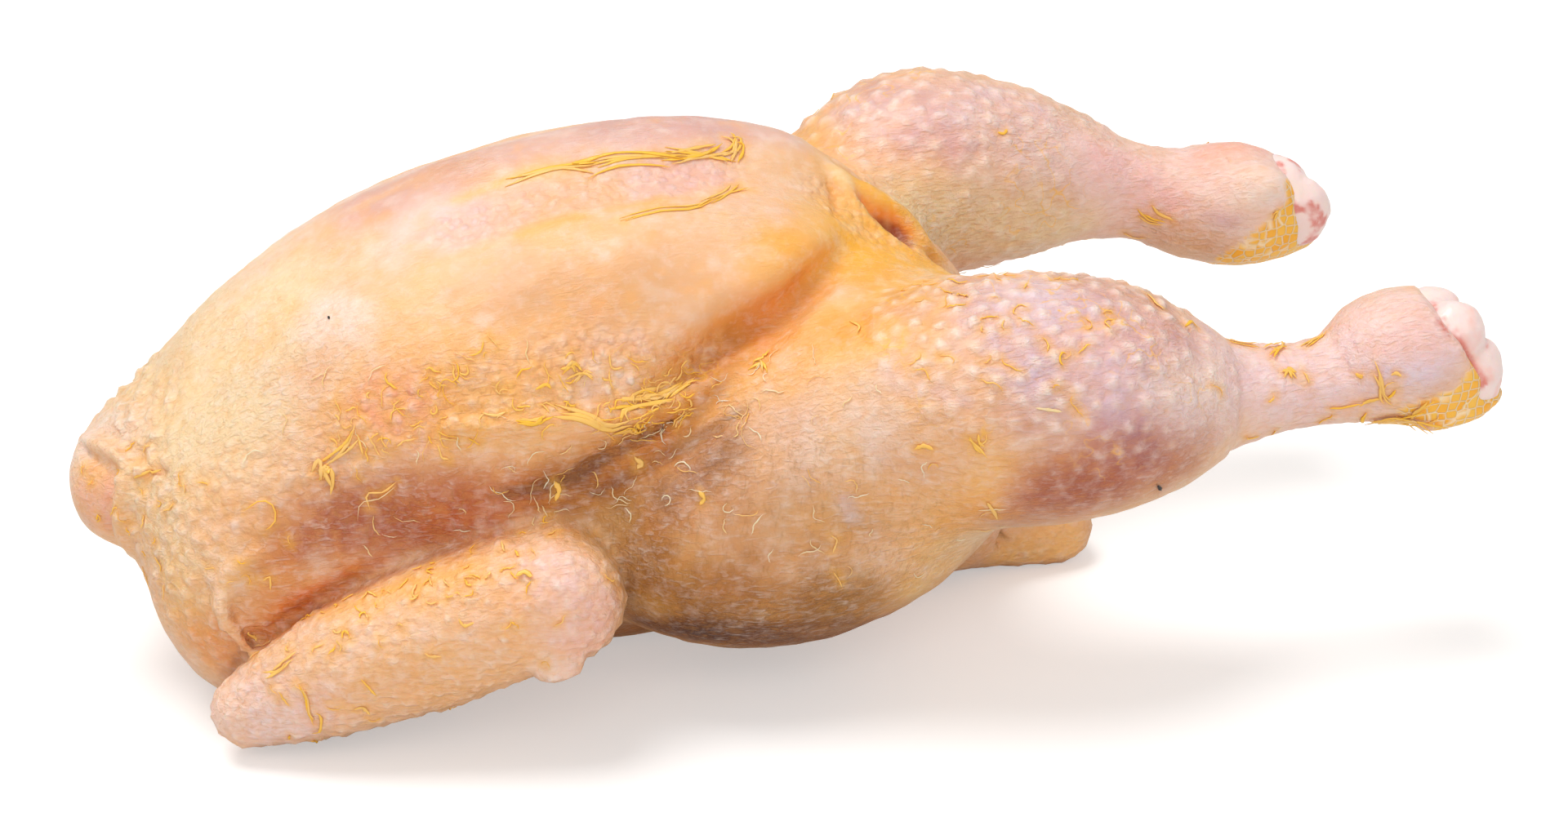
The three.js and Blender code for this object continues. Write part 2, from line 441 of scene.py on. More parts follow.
@dataclass(frozen=True)
class Vent:
    """The slit at the end of the belly: a thin near lip, a rolled far lip and a lobe at its top."""

    near_lip: Limb = Limb(
        ((36.5, -6.5, 112.2, 0.8), (39.4, -13, 106.7, 1.4), (42.6, -18.2, 102.3, 1.6),
         (47.8, -22, 98.1, 1.6), (54.5, -24.5, 93.6, 1.3), (59, -27, 90, 0.8)), 3,
    )
    roll: Limb = Limb(
        ((38.5, -6.3, 110.4, 1.3), (42.4, -7.8, 107.4, 2.4), (46.6, -8.3, 103.9, 3.2),
         (50.5, -8.2, 100.2, 3.6), (53.6, -9, 97, 3.5), (56, -11.2, 94.2, 2.8),
         (58.8, -12, 90.8, 2), (63.5, -11, 85.6, 1.2)), 3,
    )
    lobe: Limb = Limb(((36.6, -5.4, 112, 1.4), (37.8, -8.2, 110, 2.5), (38.6, -11, 107.6, 1.8)), 3)
    slit: Limb = Limb(
        ((40.8, -12.2, 106.5, 0.7), (43.6, -14, 103.6, 1.5), (46.3, -14.6, 100.8, 2.3),
         (49, -15.3, 98.2, 2.8), (51.4, -17.2, 96, 2.2), (54, -20.6, 94, 0.7)), 3,
    )
    creases: tuple[Limb, ...] = (
        Limb(((57.6, -14, 92.2, 0.8), (59.2, -15.4, 90.2, 1.1), (60.4, -16.4, 88.6, 0.6)), 3),
        Limb(((39.4, -2.2, 111.4, 0.7), (45.9, -2, 105.8, 1.5), (51.5, -1.8, 100.6, 1.7),
              (56.5, -3.2, 95.6, 1.6), (60, -5.8, 91.6, 1.2), (65, -5.6, 85, 0.6)), 3),
        Limb(((44.6, -15.6, 100.6, 1), (47.4, -16.8, 97.6, 1.6), (50.2, -18.6, 95.4, 1)), 3),
        Limb(((35, -11.4, 110.6, 0.8), (35.4, -15.4, 108.6, 1.3), (34, -21, 107.6, 0.6)), 3),
    )

    def parts(self) -> list[Part]:
        """The lips, which are melted onto the body, and the creases and slit cut between them."""
        lips = [Part(ridge, 2) for ridge in (self.near_lip, self.roll, self.lobe)]
        return [*lips, *(Part(c, 2, cut=True) for c in self.creases), Part(self.slit, 1.2, cut=True)]


@dataclass(frozen=True)
class Hock:
    """The end of a leg: a slanting cut through the joint, its gristle knobs and its scaly patch."""

    name: str
    cut_at: tuple[float, float, float]
    cut_out: tuple[float, float, float]
    box: tuple[tuple[float, float, float], ...]  # two corners round the knobs, from cut_at
    knobs: tuple[Ellipsoid, ...]
    scaly: tuple[Limb, ...]
    flap: Limb | None = None
    room: float = 26.0
    ragged: float = 1.3
    lumpy: float = 0.7
    seam: float = 1.3

    def beyond(self, p: Array) -> Array:
        """How far past the ragged cut each point is.

        Args:
            p: points in millimetres.

        Returns:
            Distances along the cut's outward direction, less than 0 before the cut and away
            from the joint.
        """
        off = p - np.array(self.cut_at, p.dtype)
        out = np.array(self.cut_out, p.dtype)
        past, away = off @ (out / np.linalg.norm(out)), np.linalg.norm(off, axis=1)
        near = away < self.room
        past[near] += self.ragged * Pattern.CUT_EDGE.at(p[near])
        return np.minimum(past, self.room - away)

    def gristle(self, p: Array) -> Array:
        """Distances to the knobs, melted together, with soft lumps of 5 mm on them."""
        knobs = formed(p, (Part(knob, self.seam) for knob in self.knobs))
        return knobs - self.lumpy * Pattern.KNOBS.at(p)


HOCKS = (
    Hock(
        "right", (166.1, -67.2, 83.1), (0.82, -0.09, 0.58), ((-20, -10, -27), (24, 26, 14)),
        (Ellipsoid((166, -56, 75.5), (11, 12, 11)), Ellipsoid((169.3, -61, 80.6), (7.5, 7, 7.2)),
         Ellipsoid((168.3, -50.5, 80.6), (7.5, 6, 7)), Ellipsoid((174.2, -61.5, 70.6), (8, 7.5, 9)),
         Ellipsoid((174, -50, 70.4), (8, 6.5, 8.5))),
        (Limb(((171, -67.5, 76.5, 2.2), (172, -68, 71, 6), (172, -66, 66, 8), (179, -62, 64, 7)), 2),
         Limb(((158, -69.5, 65, 3), (165, -68.5, 66, 6), (172, -62, 62, 9)), 2)),
        Limb(((164, -64, 63, 5), (172, -64.5, 63.5, 4.2), (178, -63.5, 64.5, 2.8),
              (181.4, -61, 64.4, 1.7)), 3),
    ),
    Hock(
        "left", (173, 35.7, 78.0), (0.883, 0.002, 0.462), ((-24, -12, -24), (16, 26, 18)),
        (Ellipsoid((164.5, 42, 73), (11, 11, 11)), Ellipsoid((168.5, 36.5, 73), (9.2, 6.5, 9.5)),
         Ellipsoid((167.5, 47.5, 73), (9, 6.5, 9)), Ellipsoid((165, 41, 80), (7.4, 8, 6.4))),
        (Limb(((150, 32, 63, 3.5), (157, 30, 66.5, 6), (164, 29.5, 70.5, 7.5), (169, 31, 75, 6.5),
               (167.5, 31.5, 79.5, 4.2), (163.8, 31.5, 82, 1.8)), 3),
         Limb(((152, 38, 59.5, 6), (162, 39, 59, 8), (171, 39, 62, 8)), 2)),
    ),
)


@dataclass(frozen=True)
class Chicken:
    """The whole bird as one distance field."""

    trunk: Trunk = Trunk()
    neck_sleeve: Limb = Limb(((-102, 0, 53, 25), (-118, 0, 52, 20), (-126, 0, 51, 15)), squash=1.2)
    neck_lobe: Ellipsoid = Ellipsoid((-130.5, -3, 50), (11.5, 12, 14))
    neck_ridges: tuple[Limb, ...] = (
        Limb(((-130.2, -17, 61, 1.6), (-130.2, -19, 58.5, 2.4), (-131, -19.4, 55.9, 2.6),
              (-131.6, -19.4, 52, 2.6), (-131.8, -19, 47.6, 2.6), (-131, -18.2, 43.2, 2),
              (-129.5, -12, 37.5, 1.4)), 3),
        Limb(((-137.8, 0.2, 60.6, 1.2), (-135.4, -6.4, 62.2, 2), (-132.9, -10.4, 62.4, 2.4),
              (-130.8, -14.2, 62.3, 2.4), (-128.9, -17.6, 61.7, 2.1), (-127.2, -20.6, 60.6, 1.2)), 3),
    )
    neck_creases: tuple[Limb, ...] = (
        Limb(((-135.3, -3.1, 64.2, 0.6), (-133, -7.5, 65, 1), (-130.9, -12.6, 64.8, 1.2),
              (-128.6, -16.9, 64.2, 1.2), (-127, -20.2, 63, 0.7)), 3),
        Limb(((-138.3, -3.5, 59.8, 0.7), (-136.8, -8.8, 59.8, 1.2), (-134.6, -12.6, 59.6, 1.2),
              (-133.4, -15, 58.6, 1.2), (-134, -17.2, 55.6, 1.3), (-134.9, -17.4, 52, 1.3),
              (-134.9, -16.8, 48, 1.3), (-133.8, -14.4, 43.6, 1)), 3),
        Limb(((-128.8, -17, 64, 0.8), (-125.2, -20.2, 65.4, 1.1), (-122, -22.6, 67.2, 0.5)), 3),
        Limb(((-126.4, -22.8, 60.9, 0.6), (-124.4, -24.8, 62, 1.3), (-122.3, -26.4, 63.3, 0.7)), 3),
    )
    tail: Limb = Limb(((54, 0, 27, 24), (78, 0, 15, 13.5), (94, 0, 11.2, 10.5)), 6, (0, 0, 1), 0.9)
    tail_crease: Limb = Limb(
        ((74, -14, 20, 1), (80, -13.5, 12, 1.6), (86, -11, 5, 1.4), (90, -8, 1, 1)), 3
    )
    thigh_fold: Limb = Limb(
        ((46, -24, 108, 0.5), (35, -32, 104, 0.9), (16, -44, 96, 2.8), (0, -54, 91, 4.8),
         (-12, -62, 80, 5.4), (-26, -67, 69, 5.0), (-40, -68, 60, 3.8), (-50, -66, 54, 2))
    )
    fold_ledge: Limb = Limb(
        ((-62, -54, 79, 0.8), (-44, -56, 79.5, 2.2), (-28, -57, 78.8, 3), (-14, -55.6, 80, 3),
         (-2, -52.4, 84, 2.2), (10, -48, 89.5, 1))
    )
    fold_creases: tuple[Limb, ...] = (
        Limb(((-56, -57.5, 62.5, 0.5), (-38, -58.6, 66.3, 1.3), (-25, -58, 71.5, 1.2),
              (-12, -55, 77, 0.5))),
        Limb(((-31.5, -59.6, 61.7, 0.5), (-19.5, -60, 68.5, 1.3), (-6.8, -60.4, 74.3, 1.3),
              (3, -60.6, 79.4, 0.5))),
    )
    shoulder_bulge: Ellipsoid = Ellipsoid((-97, -40.5, 43), (13, 8.5, 11.5), 0, 20)
    wing_pocket: Limb = Limb(((-105, -52, 29.5, 3), (-94, -52.5, 34.5, 4), (-80, -54, 41.5, 3.5)))
    pocket_ridge: Limb = Limb(
        ((-105, -47.5, 50, 0.6), (-110.3, -45.7, 46.1, 1.3), (-112.6, -45.8, 42, 1.7),
         (-113.4, -47.5, 38, 1.8), (-112, -48.5, 33.5, 1.5), (-108.5, -49.5, 28.5, 0.9)), 3,
    )
    hock_bulge: Ellipsoid = Ellipsoid((156.8, 32.8, 81), (8, 5.4, 6.4), 0, 10)
    wing: Wing = Wing()
    vent: Vent = Vent()

    def distance(self, p: Array) -> Array:
        """Distances to the skin of the bird, less than 0 inside.

        Args:
            p: points in millimetres.

        Returns:
            One distance a point.
        """
        d = formed(p, (
            Part(self.trunk), Part(self.neck_sleeve, 10), Part(self.tail, 14), Part(RIGHT_LEG, 9),
            Part(LEFT_LEG, 9), Part(self.thigh_fold, 9, True, True), Part(self.fold_ledge, 3, True),
            *(Part(crease, 1.6, True, True) for crease in self.fold_creases),
            Part(self.shoulder_bulge, 3, True), Part(self.wing_pocket, 4, True, True),
            Part(self.pocket_ridge, 3, True), Part(self.tail_crease, 1.5, True, True),
            *self.vent.parts(),
            Part(self.hock_bulge, 3), Part(self.wing, 2.5, True), Part(self.neck_lobe, 2),
            *(Part(ridge, 1.6) for ridge in self.neck_ridges),
            *(Part(crease, 1.6, cut=True) for crease in self.neck_creases),
        ))
        for hock in HOCKS:
            d = carved(d, -hock.beyond(p), 1.2)
            if hock.flap:
                d = soft_min(d, hock.flap.distance(p), 1.5)
        return d

    def measured(self, p: Array, chunk: int = 32768) -> Array:
        """The distances of many points, worked out a chunk at a time to stay in fast memory."""
        some = (p[i : i + chunk].astype(np.float32) for i in range(0, len(p), chunk))
        return np.concatenate([self.distance(q) for q in some])

    def slope(self, p: Array, h: float = 0.15) -> Array:
        """The direction out of the skin at each point.

        Args:
            p: points in millimetres.
            h: the small step over which the differences are taken.

        Returns:
            The differences of distance along x, y and z, brought to length 1.
        """
        steps = np.eye(3) * h
        g = np.stack([self.measured(p + s) - self.measured(p - s) for s in steps], 1)
        return g / np.maximum(np.linalg.norm(g, axis=1), 1e-9)[:, None]

    def settled(self, p: Array, rounds: int = 2, stride: float = 0.6) -> Array:
        """Moves points along the slope until they lie on the skin.

        Args:
            p: points near the skin.
            rounds: how many times they are moved.
            stride: the furthest a point moves in one round.

        Returns:
            The moved points.
        """
        for _ in range(rounds):
            p = p - self.slope(p) * np.clip(self.measured(p), -stride, stride)[:, None]
        return p


# ---------------------------------------------------------------- colours and grain of the skin


class Tone(Enum):
    """Colours of raw chicken skin and of the painted shade and light laid on it, named for what they
    look like.
    """

    SKIN = "#efc29a"  # thin skin with a little fat over pale meat
    CREAM = "#f6dbae"
    PEARL = "#f6e0d4"
    TAN = "#dca074"
    HONEY = "#eeaa66"
    APRICOT = "#fcb96c"
    FAT = "#f6b548"
    GOLD = "#f9c476"
    YOLK = "#ffc030"  # shreds of the yellow outer skin
    OLIVE = "#ac7430"
    OCHRE = "#c48c40"
    BROWN = "#8a4a1c"
    RUSSET = "#b8623c"
    AMBER = "#f08408"
    ROSE = "#e9c0be"  # skin over dark leg meat
    FAWN = "#dc9c58"
    PUCE = "#b06a55"
    MILK = "#fae8de"
    SHELL = "#f4d0ca"  # bloodless skin over bone
    SALMON = "#f5a890"
    DUSK = "#cd9390"  # dark leg meat between the follicles, with painted shade in the gaps
    VIOLET = "#b68aa8"
    PINK = "#f49884"
    BLOOM = "#f0a8a8"
    MAUVE = "#d9adae"
    PLUM = "#ab6c74"
    BRUISE = "#c87f8a"
    LILAC = "#dccbe0"
    FLESH = "#963606"  # the wet inside of the slit, darkened with painted shade
    RED = "#d8604e"  # raw meat and blood at a cut
    GRISTLE = "#f8dcd6"
    HAIR = "#f4e8c4"
    SCALE = "#ffae22"
    BUTTER = "#ffc24c"
    WEB = "#ffdcb0"  # the soft skin between leg scales
    QUILL = "#1c1a18"
    # The deep tones below, and ash, multiply the colour under them, for painted shade and for stains.
    DEEP_GOLD = "#f2c482"
    DEEP_LEMON = "#fff8bc"
    DEEP_OLIVE = "#d8c898"
    DEEP_BROWN = "#b08c6c"
    DEEP_PINK = "#e2bcb4"
    ASH = "#a89a94"  # painted shade: the grey in a crease

    @property
    def rgb(self) -> Array:
        """The tone's linear red, green and blue."""
        return np.array(linear(self.value))


@dataclass(frozen=True)
class Blush:
    """A patch of colour along stations of x, y, z and radius, on both sides unless said otherwise."""

    tone: Tone
    stations: tuple[Station, ...]
    soft: float = 6.0
    strength: float = 0.7
    paired: bool = True
    ragged: float = 0.6

    def weight(self, p: Array, side: Array, noise: Array) -> Array:
        """How strongly each point takes the tone.

        Args:
            p: points in millimetres.
            side: the same points with those of the left side brought over to the right.
            noise: noise from -1 to 1 that frays the patch's edge.

        Returns:
            The strength times a smooth fall across the edge, over twice the softness.
        """
        d = Limb(self.stations, 3).distance(side if self.paired else p)
        return self.strength * smooth_step(self.soft, -self.soft, d + self.ragged * self.soft * noise)


BLUSHES = (
    Blush(Tone.MAUVE, ((-73, -4, 111.5, 5), (-50.5, -3.5, 119, 6), (-20, -3, 125, 7), (7, -1.5, 125, 7),
          (26, -1.5, 120.5, 6)), 6, 0.6),
    Blush(Tone.PLUM, ((-16, -2.5, 125.5, 3), (14, -4, 123.5, 3)), 4, 0.2),
    Blush(Tone.MAUVE, ((-66, -14, 109, 4), (-52, -14, 114, 5), (-38, -16, 117, 4)), 5, 0.45),
    Blush(Tone.CREAM, ((-119, -2, 77.5, 12), (-108.5, -11.5, 86.5, 16), (-95.5, -15, 94.5, 14)), 9,
          0.8),
    Blush(Tone.CREAM, ((-129, -3, 69, 10), (-117, -29, 67, 12), (-104, -31.5, 78.5, 12)), 9, 0.6),
    Blush(Tone.PEARL, ((-85, -25.5, 97, 6), (-80, -32.5, 96, 5)), 5, 0.7),
    Blush(Tone.PEARL, ((-68.5, -21.5, 106, 4), (-59, -10, 114.5, 5), (-54.5, -25, 110, 4)), 5, 0.5),
    Blush(Tone.ROSE, ((-53.5, -20, 112, 6), (-34.5, -18.5, 116.5, 7), (-12, -19, 118.5, 7), (5, -17,
          118, 6)), 5, 0.6),
    Blush(Tone.TAN, ((-46, -39.5, 105.5, 10), (-29, -45.5, 104, 12), (-11, -46.5, 104.5, 10)), 9, 0.45),
    Blush(Tone.PINK, ((-75, -47.5, 83.5, 7), (-69, -49.5, 84, 7)), 6, 0.85),
    Blush(Tone.APRICOT, ((-84, -44, 82, 8), (-59.5, -51, 86.5, 11), (-35, -55.5, 87.5, 12), (-12.5, -53,
          86, 10)), 8, 0.6),
    # Painted shade: russet on the trunk's side above the wing.
    Blush(Tone.RUSSET, ((-96, -49, 53, 6), (-84, -50.5, 57.5, 10), (-65, -55, 60, 10), (-46, -58, 62,
          6)), 7, 0.85),
    Blush(Tone.FAWN, ((-112, -42, 60, 6), (-104, -46, 54, 6)), 6, 0.5),
    # Painted shade above the wing.
    Blush(Tone.PLUM, ((-89.5, -50, 57.5, 5), (-77, -52, 57, 5)), 6, 0.3),
    Blush(Tone.FAWN, ((-106, -46, 44, 5), (-100, -48, 40, 6)), 4, 0.6),
    Blush(Tone.CREAM, ((-105, -47.5, 50, 0.5), (-110.3, -45.7, 46.1, 1), (-113.4, -47.5, 38, 1.3),
          (-112, -48.5, 33.5, 1), (-108.5, -49.5, 28.5, 0.5)), 1.6, 0.6),
    # Painted shade: deep orange in the crease between the shoulder and the wing, with a brown line
    # along it.
    Blush(Tone.AMBER, ((-104.3, -48, 28.8, 2), (-99.6, -48.5, 32.6, 4), (-94.9, -49, 35.7, 4), (-88,
          -50, 39.5, 3)), 3, 0.95),
    Blush(Tone.AMBER, ((-100.4, -49.9, 38.3, 1), (-94, -50.7, 42, 1.5), (-86.7, -50.8, 44.4, 1.5), (-76,
          -52, 47, 1)), 3, 0.55),
    Blush(Tone.BROWN, ((-86, -52, 42.5, 0.5), (-74, -54, 47, 1), (-62, -57.5, 52, 0.8)), 1.6, 0.7),
    Blush(Tone.FAT, ((16, -40, 106, 6), (24, -36, 103, 7), (19, -37, 96, 7)), 6, 0.75),
    Blush(Tone.FAT, ((35, -27.5, 98.5, 7), (41, -41, 97, 8), (40.5, -62.5, 98, 8), (27.5, -55.5, 94.5,
          8)), 6, 0.75),
    # Painted shade: olive in the fold between the breast and the thigh.
    Blush(Tone.OLIVE, ((-7.5, -54, 78, 7), (-18, -60.5, 66, 9), (-23, -63.5, 56, 8)), 8, 0.6),
    Blush(Tone.FAT, ((0, -54, 81, 6), (13, -54, 87, 8), (26.5, -58, 92.5, 8), (40, -64, 95.5, 7)), 6,
          0.85),
    # Painted shade: brown along the fold and in its two creases.
    Blush(Tone.BROWN, ((17, -38.5, 89, 2), (2, -45.5, 87.5, 4), (-7.5, -51, 82.5, 5), (-17, -55.5, 76,
          5), (-28.5, -57.5, 70, 4), (-39.5, -58, 65, 4)), 5, 0.6),
    Blush(Tone.BROWN, ((-54, -57, 63, 0.4), (-38, -58, 66.3, 0.8), (-25, -57.5, 71.5, 0.4)), 1.4, 0.8,
          True, 0.3),
    Blush(Tone.BROWN, ((-31.5, -58.3, 61.7, 0.3), (-19.5, -58.6, 68.5, 0.7), (-6.8, -59.3, 74.3, 0.8),
          (1.3, -60.2, 78.8, 0.3)), 1.4, 0.8, True, 0.3),
    Blush(Tone.TAN, ((-1, -66, 70.5, 16), (16, -73, 60, 18), (33, -77, 64, 16)), 12, 0.55),
    Blush(Tone.PEARL, ((16, -71.5, 71.5, 6), (26.5, -74.5, 75.5, 6)), 7, 0.5),
    # Painted shade: olive low on the thigh.
    Blush(Tone.OLIVE, ((-19.5, -63.5, 35.5, 10), (-1.5, -67, 31, 12), (17.5, -66, 28, 12), (34, -63, 30,
          8)), 9, 0.7),
    Blush(Tone.FAT, ((44, -64, 34, 8), (50.5, -82, 60, 7), (54, -84, 72, 5), (53, -78, 91.5, 5)), 6,
          0.6),
    Blush(Tone.LILAC, ((22, -74, 61, 2), (24, -73.5, 56.5, 2)), 1.5, 0.8),
    Blush(Tone.ROSE, ((60, -64.5, 101, 10), (71, -73, 97.5, 16), (89, -76.5, 91, 14), (103.5, -74, 84.5,
          10)), 9, 0.85),
    Blush(Tone.MAUVE, ((60.5, -83.5, 83.5, 9), (73.5, -84.5, 82.5, 12), (87, -83.5, 80.5, 10)), 9,
          0.55),
    # Painted shade: plum low on the drumstick.
    Blush(Tone.PLUM, ((63, -84, 63.5, 7), (76, -84.5, 64.5, 8), (89.5, -83.5, 68.5, 7), (102.5, -79, 73,
          5)), 7, 0.6),
    Blush(Tone.PEARL, ((65, -63, 101.5, 5), (73, -60, 101.5, 5)), 5, 0.5),
    Blush(Tone.SHELL, ((98, -79, 81, 7), (110.5, -71.5, 81, 10), (129, -64.5, 76, 11), (144.5, -65,
          78.5, 11), (155.5, -65.5, 85.5, 12)), 8, 0.9),
    Blush(Tone.SHELL, ((120, -57, 69, 11), (140, -57, 70, 11), (170, -56, 71, 14)), 8, 0.9),
    Blush(Tone.SALMON, ((154, -64, 87.5, 3), (160, -69, 82, 4), (150, -68, 82, 3)), 6, 0.35),
    Blush(Tone.LILAC, ((150, -70, 74.5, 3), (157, -71.5, 75, 4), (163, -71, 76, 3)), 4, 0.7),
    Blush(Tone.TAN, ((160, -71.5, 70, 3), (166, -70.5, 74, 2)), 4, 0.5),
    Blush(Tone.ROSE, ((59.5, 35, 109.5, 12), (76, 34, 110.5, 12), (96, 31, 101.5, 14), (111, 31, 91.5,
          10)), 9, 0.8, False),
    Blush(Tone.BRUISE, ((64, 28.5, 106, 4), (73, 30.5, 108, 5), (75.5, 25, 101, 4)), 5, 0.85, False),
    Blush(Tone.APRICOT, ((47, 33, 103, 7), (44, -8.5, 106.5, 7), (50.5, -13, 99, 6)), 7, 0.6, False),
    Blush(Tone.TAN, ((57.5, -10.5, 95.5, 7), (81.5, 23.5, 82, 9), (101.5, 27.5, 81.5, 7)), 8, 0.6,
          False),
    Blush(Tone.SHELL, ((118, 40, 84, 13), (127, 42, 80, 12), (142, 42, 80, 14), (160, 42, 76, 16)), 8,
          0.9, False),
    Blush(Tone.BLOOM, ((116, 33.5, 92, 5), (125, 34.5, 86.5, 4), (133, 32.5, 80, 3)), 5, 0.7, False),
    Blush(Tone.SALMON, ((144, 38.5, 88.5, 3), (150, 42, 90, 4), (158.5, 45, 89.5, 5)), 4, 0.7, False),
    Blush(Tone.VIOLET, ((143, 29.5, 77, 1.5), (149, 28.8, 75, 2)), 3, 0.45, False),
    Blush(Tone.PEARL, ((152, 29, 82, 3), (157, 29, 82.5, 4), (161, 30, 84, 3)), 3, 0.9, False),
    Blush(Tone.TAN, ((134, 34, 73, 3), (144, 31, 68, 3), (150, 33, 66, 2)), 4, 0.6, False),
    Blush(Tone.APRICOT, ((-90, -68, 28, 6), (-72, -74, 36, 7), (-58, -78, 44, 6)), 8, 0.35),
    Blush(Tone.SHELL, ((-115, -54, 18, 9), (-104.5, -62, 18, 9), (-96, -66, 20, 5)), 7, 0.95),
    Blush(Tone.PEARL, ((-92, -66, 34, 3), (-76, -72, 41, 3), (-62, -76, 40, 4)), 6, 0.4),
    Blush(Tone.FAT, ((-88, -58.5, 39.5, 3), (-74, -62.5, 47.5, 4), (-60, -67.5, 54.5, 4), (-53, -70, 57,
          4)), 4, 0.7),
    Blush(Tone.SHELL, ((-48, -72, 55, 6), (-40, -76, 49, 8), (-38, -78, 40, 8)), 6, 0.8),
    Blush(Tone.SALMON, ((-33, -74, 42, 4), (-34, -76, 34, 4)), 5, 0.5),
    Blush(Tone.PEARL, ((-47, -76.5, 28, 3), (-41, -77, 28.5, 3)), 2.5, 0.9, True, 0.3),
    Blush(Tone.LILAC, ((-3, -37, 107.5, 1), (0, -37, 107, 1)), 2, 0.5),
    Blush(Tone.LILAC, ((20, -70, 58, 1.2), (24, -70, 60, 1)), 2, 0.5),
    Blush(Tone.CREAM, ((-122, -24, 66, 11), (-124, -34, 46, 10), (-122, -37, 38, 6)), 8, 0.8),
    Blush(Tone.PEARL, ((-128, -12, 67, 5), (-133, -4, 63, 6), (-136, -2, 54, 6)), 5, 0.8, False),
    Blush(Tone.PEARL, ((98, -79, 82, 5), (106, -74, 80, 6)), 6, 0.5),
    Blush(Tone.APRICOT, ((84, -11, 10, 6), (92, -10.5, 10, 6)), 5, 0.5),
    Blush(Tone.PEARL, ((-24, -56, 89, 3), (-34, -55.5, 89, 3)), 4, 0.7),
    Blush(Tone.APRICOT, ((8, -44.5, 103, 4), (20, -41, 101, 5)), 5, 0.7),
    Blush(Tone.APRICOT, ((-121, -40, 33, 7), (-115.5, -43, 27, 8)), 7, 0.75),
    Blush(Tone.PINK, ((-138, -11, 52, 5), (-137, -12.5, 47, 4)), 4, 0.35, False),
    # Painted shade along the neck's creases, in pink, apricot and amber.
    Blush(Tone.PINK, ((-134, -13.5, 60, 1), (-134.5, -16.5, 56, 1.6), (-135.6, -16.5, 50, 2), (-134.5,
          -14.5, 44, 1.6)), 2, 0.75, False, 0.3),
    Blush(Tone.AMBER, ((-137, -8, 60.4, 0.6), (-136.8, -11, 58, 0.8)), 1.8, 0.6, False, 0.3),
    Blush(Tone.APRICOT, ((-135.3, -3.1, 64, 0.5), (-130.9, -12.6, 64, 0.9), (-127.5, -19.5, 62.5, 0.9)),
          1.5, 0.8, False, 0.3),
    Blush(Tone.APRICOT, ((-128.8, -17, 63.5, 0.6), (-125.2, -20.2, 65, 0.8), (-122, -22.6, 67, 0.4)),
          1.5, 0.8, False, 0.3),
    Blush(Tone.AMBER, ((-126.4, -22.8, 60.9, 0.3), (-124.4, -24.6, 62, 1), (-122.3, -26.2, 63.3, 0.5)),
          1.3, 0.9, False, 0.3),
    Blush(Tone.GOLD, ((81, -12, 10.5, 6), (94, -10.5, 11.5, 6)), 5, 0.8),
    Blush(Tone.FAT, ((39, -6, 112, 2), (46.6, -7.5, 106, 4.4), (53, -8, 99, 4.6), (58, -11, 93, 3.4),
          (63, -10, 86, 2)), 2, 0.95, False, 0.3),
    Blush(Tone.APRICOT, ((20, -37, 103, 6), (27, -34, 98, 7), (14, -43, 93, 6)), 6, 0.8),
    # Painted shade: puce under the drumstick.
    Blush(Tone.PUCE, ((62, -78, 54, 8), (72, -80, 58, 9), (84, -80, 60, 7), (98, -74, 62, 5)), 6, 0.6),
    Blush(Tone.VIOLET, ((78, -85, 79, 4), (85, -85, 74, 5), (88, -83, 70, 4)), 5, 0.6),
    Blush(Tone.LILAC, ((62, -64, 101.5, 5), (72, -65, 101, 6), (82, -67, 99, 4)), 5, 0.55),
    Blush(Tone.VIOLET, ((60, -80, 90, 2), (66, -80, 92, 3)), 4, 0.35),
    # Painted shade: olive and brown under the trunk, near the board.
    Blush(Tone.OLIVE, ((-30, -60, 20, 10), (0, -58, 14, 10), (24, -56, 14, 10)), 8, 0.7),
    Blush(Tone.BROWN, ((-20, -52, 14, 6), (0, -54, 10, 6), (20, -50, 10, 6)), 6, 0.55),
    Blush(Tone.CREAM, ((56, -62, 42, 6), (50, -66, 36, 6), (44, -62, 28, 5)), 8, 0.6),
    # Painted bounce light: cream on the underside of the far drumstick.
    Blush(Tone.CREAM, ((62, 14, 92, 8), (84, 24, 82, 10), (104, 28, 76, 9)), 8, 0.9, False),
    Blush(Tone.FAWN, ((52, 2, 103, 4), (60, 12, 96, 6), (66, 16, 88, 5)), 5, 0.5, False),
    Blush(Tone.FAT, ((36, -22, 104, 8), (46, -24, 98, 9), (56, -28, 92, 9)), 6, 0.95, False),
    Blush(Tone.FAT, ((24, -26, 106, 6), (34, -30, 100, 8)), 6, 0.6, False),
    Blush(Tone.PEARL, ((36.6, -5.4, 113, 1), (38, -8.5, 111, 2), (38.8, -11, 108.5, 1.4)), 1.5, 0.8,
          False, 0.3),
    # Amber, olive and the wet flesh in the vent's creases and slit, darkened with painted shade.
    Blush(Tone.AMBER, ((35, -11.4, 110.6, 0.6), (35.4, -15.4, 108.8, 1.2), (34, -21, 107.6, 0.5)), 1.8,
          0.75, False, 0.3),
    Blush(Tone.AMBER, ((41, -11.5, 107.5, 1), (44, -12.2, 104, 1.8), (47.4, -12, 101.2, 2.8), (51.5,
          -12.6, 98, 2.8)), 1.8, 0.9, False, 0.3),
    Blush(Tone.FLESH, ((44.6, -12.8, 102, 0.6), (47, -12.8, 99.4, 2), (49.4, -13, 97.6, 2.6), (52, -15,
          95.6, 1.6)), 1.1, 0.98, False, 0.2),
    Blush(Tone.OLIVE, ((45.9, -1.6, 105.6, 0.6), (51.5, -1.4, 100.4, 0.8), (57, -3, 95, 0.8), (61, -5.6,
          90.6, 0.6)), 1.6, 0.7, False, 0.3),
    Blush(Tone.FAT, ((-28, -59, 66, 3), (-16, -58, 73, 4), (-6, -57, 79, 3)), 4, 0.5),
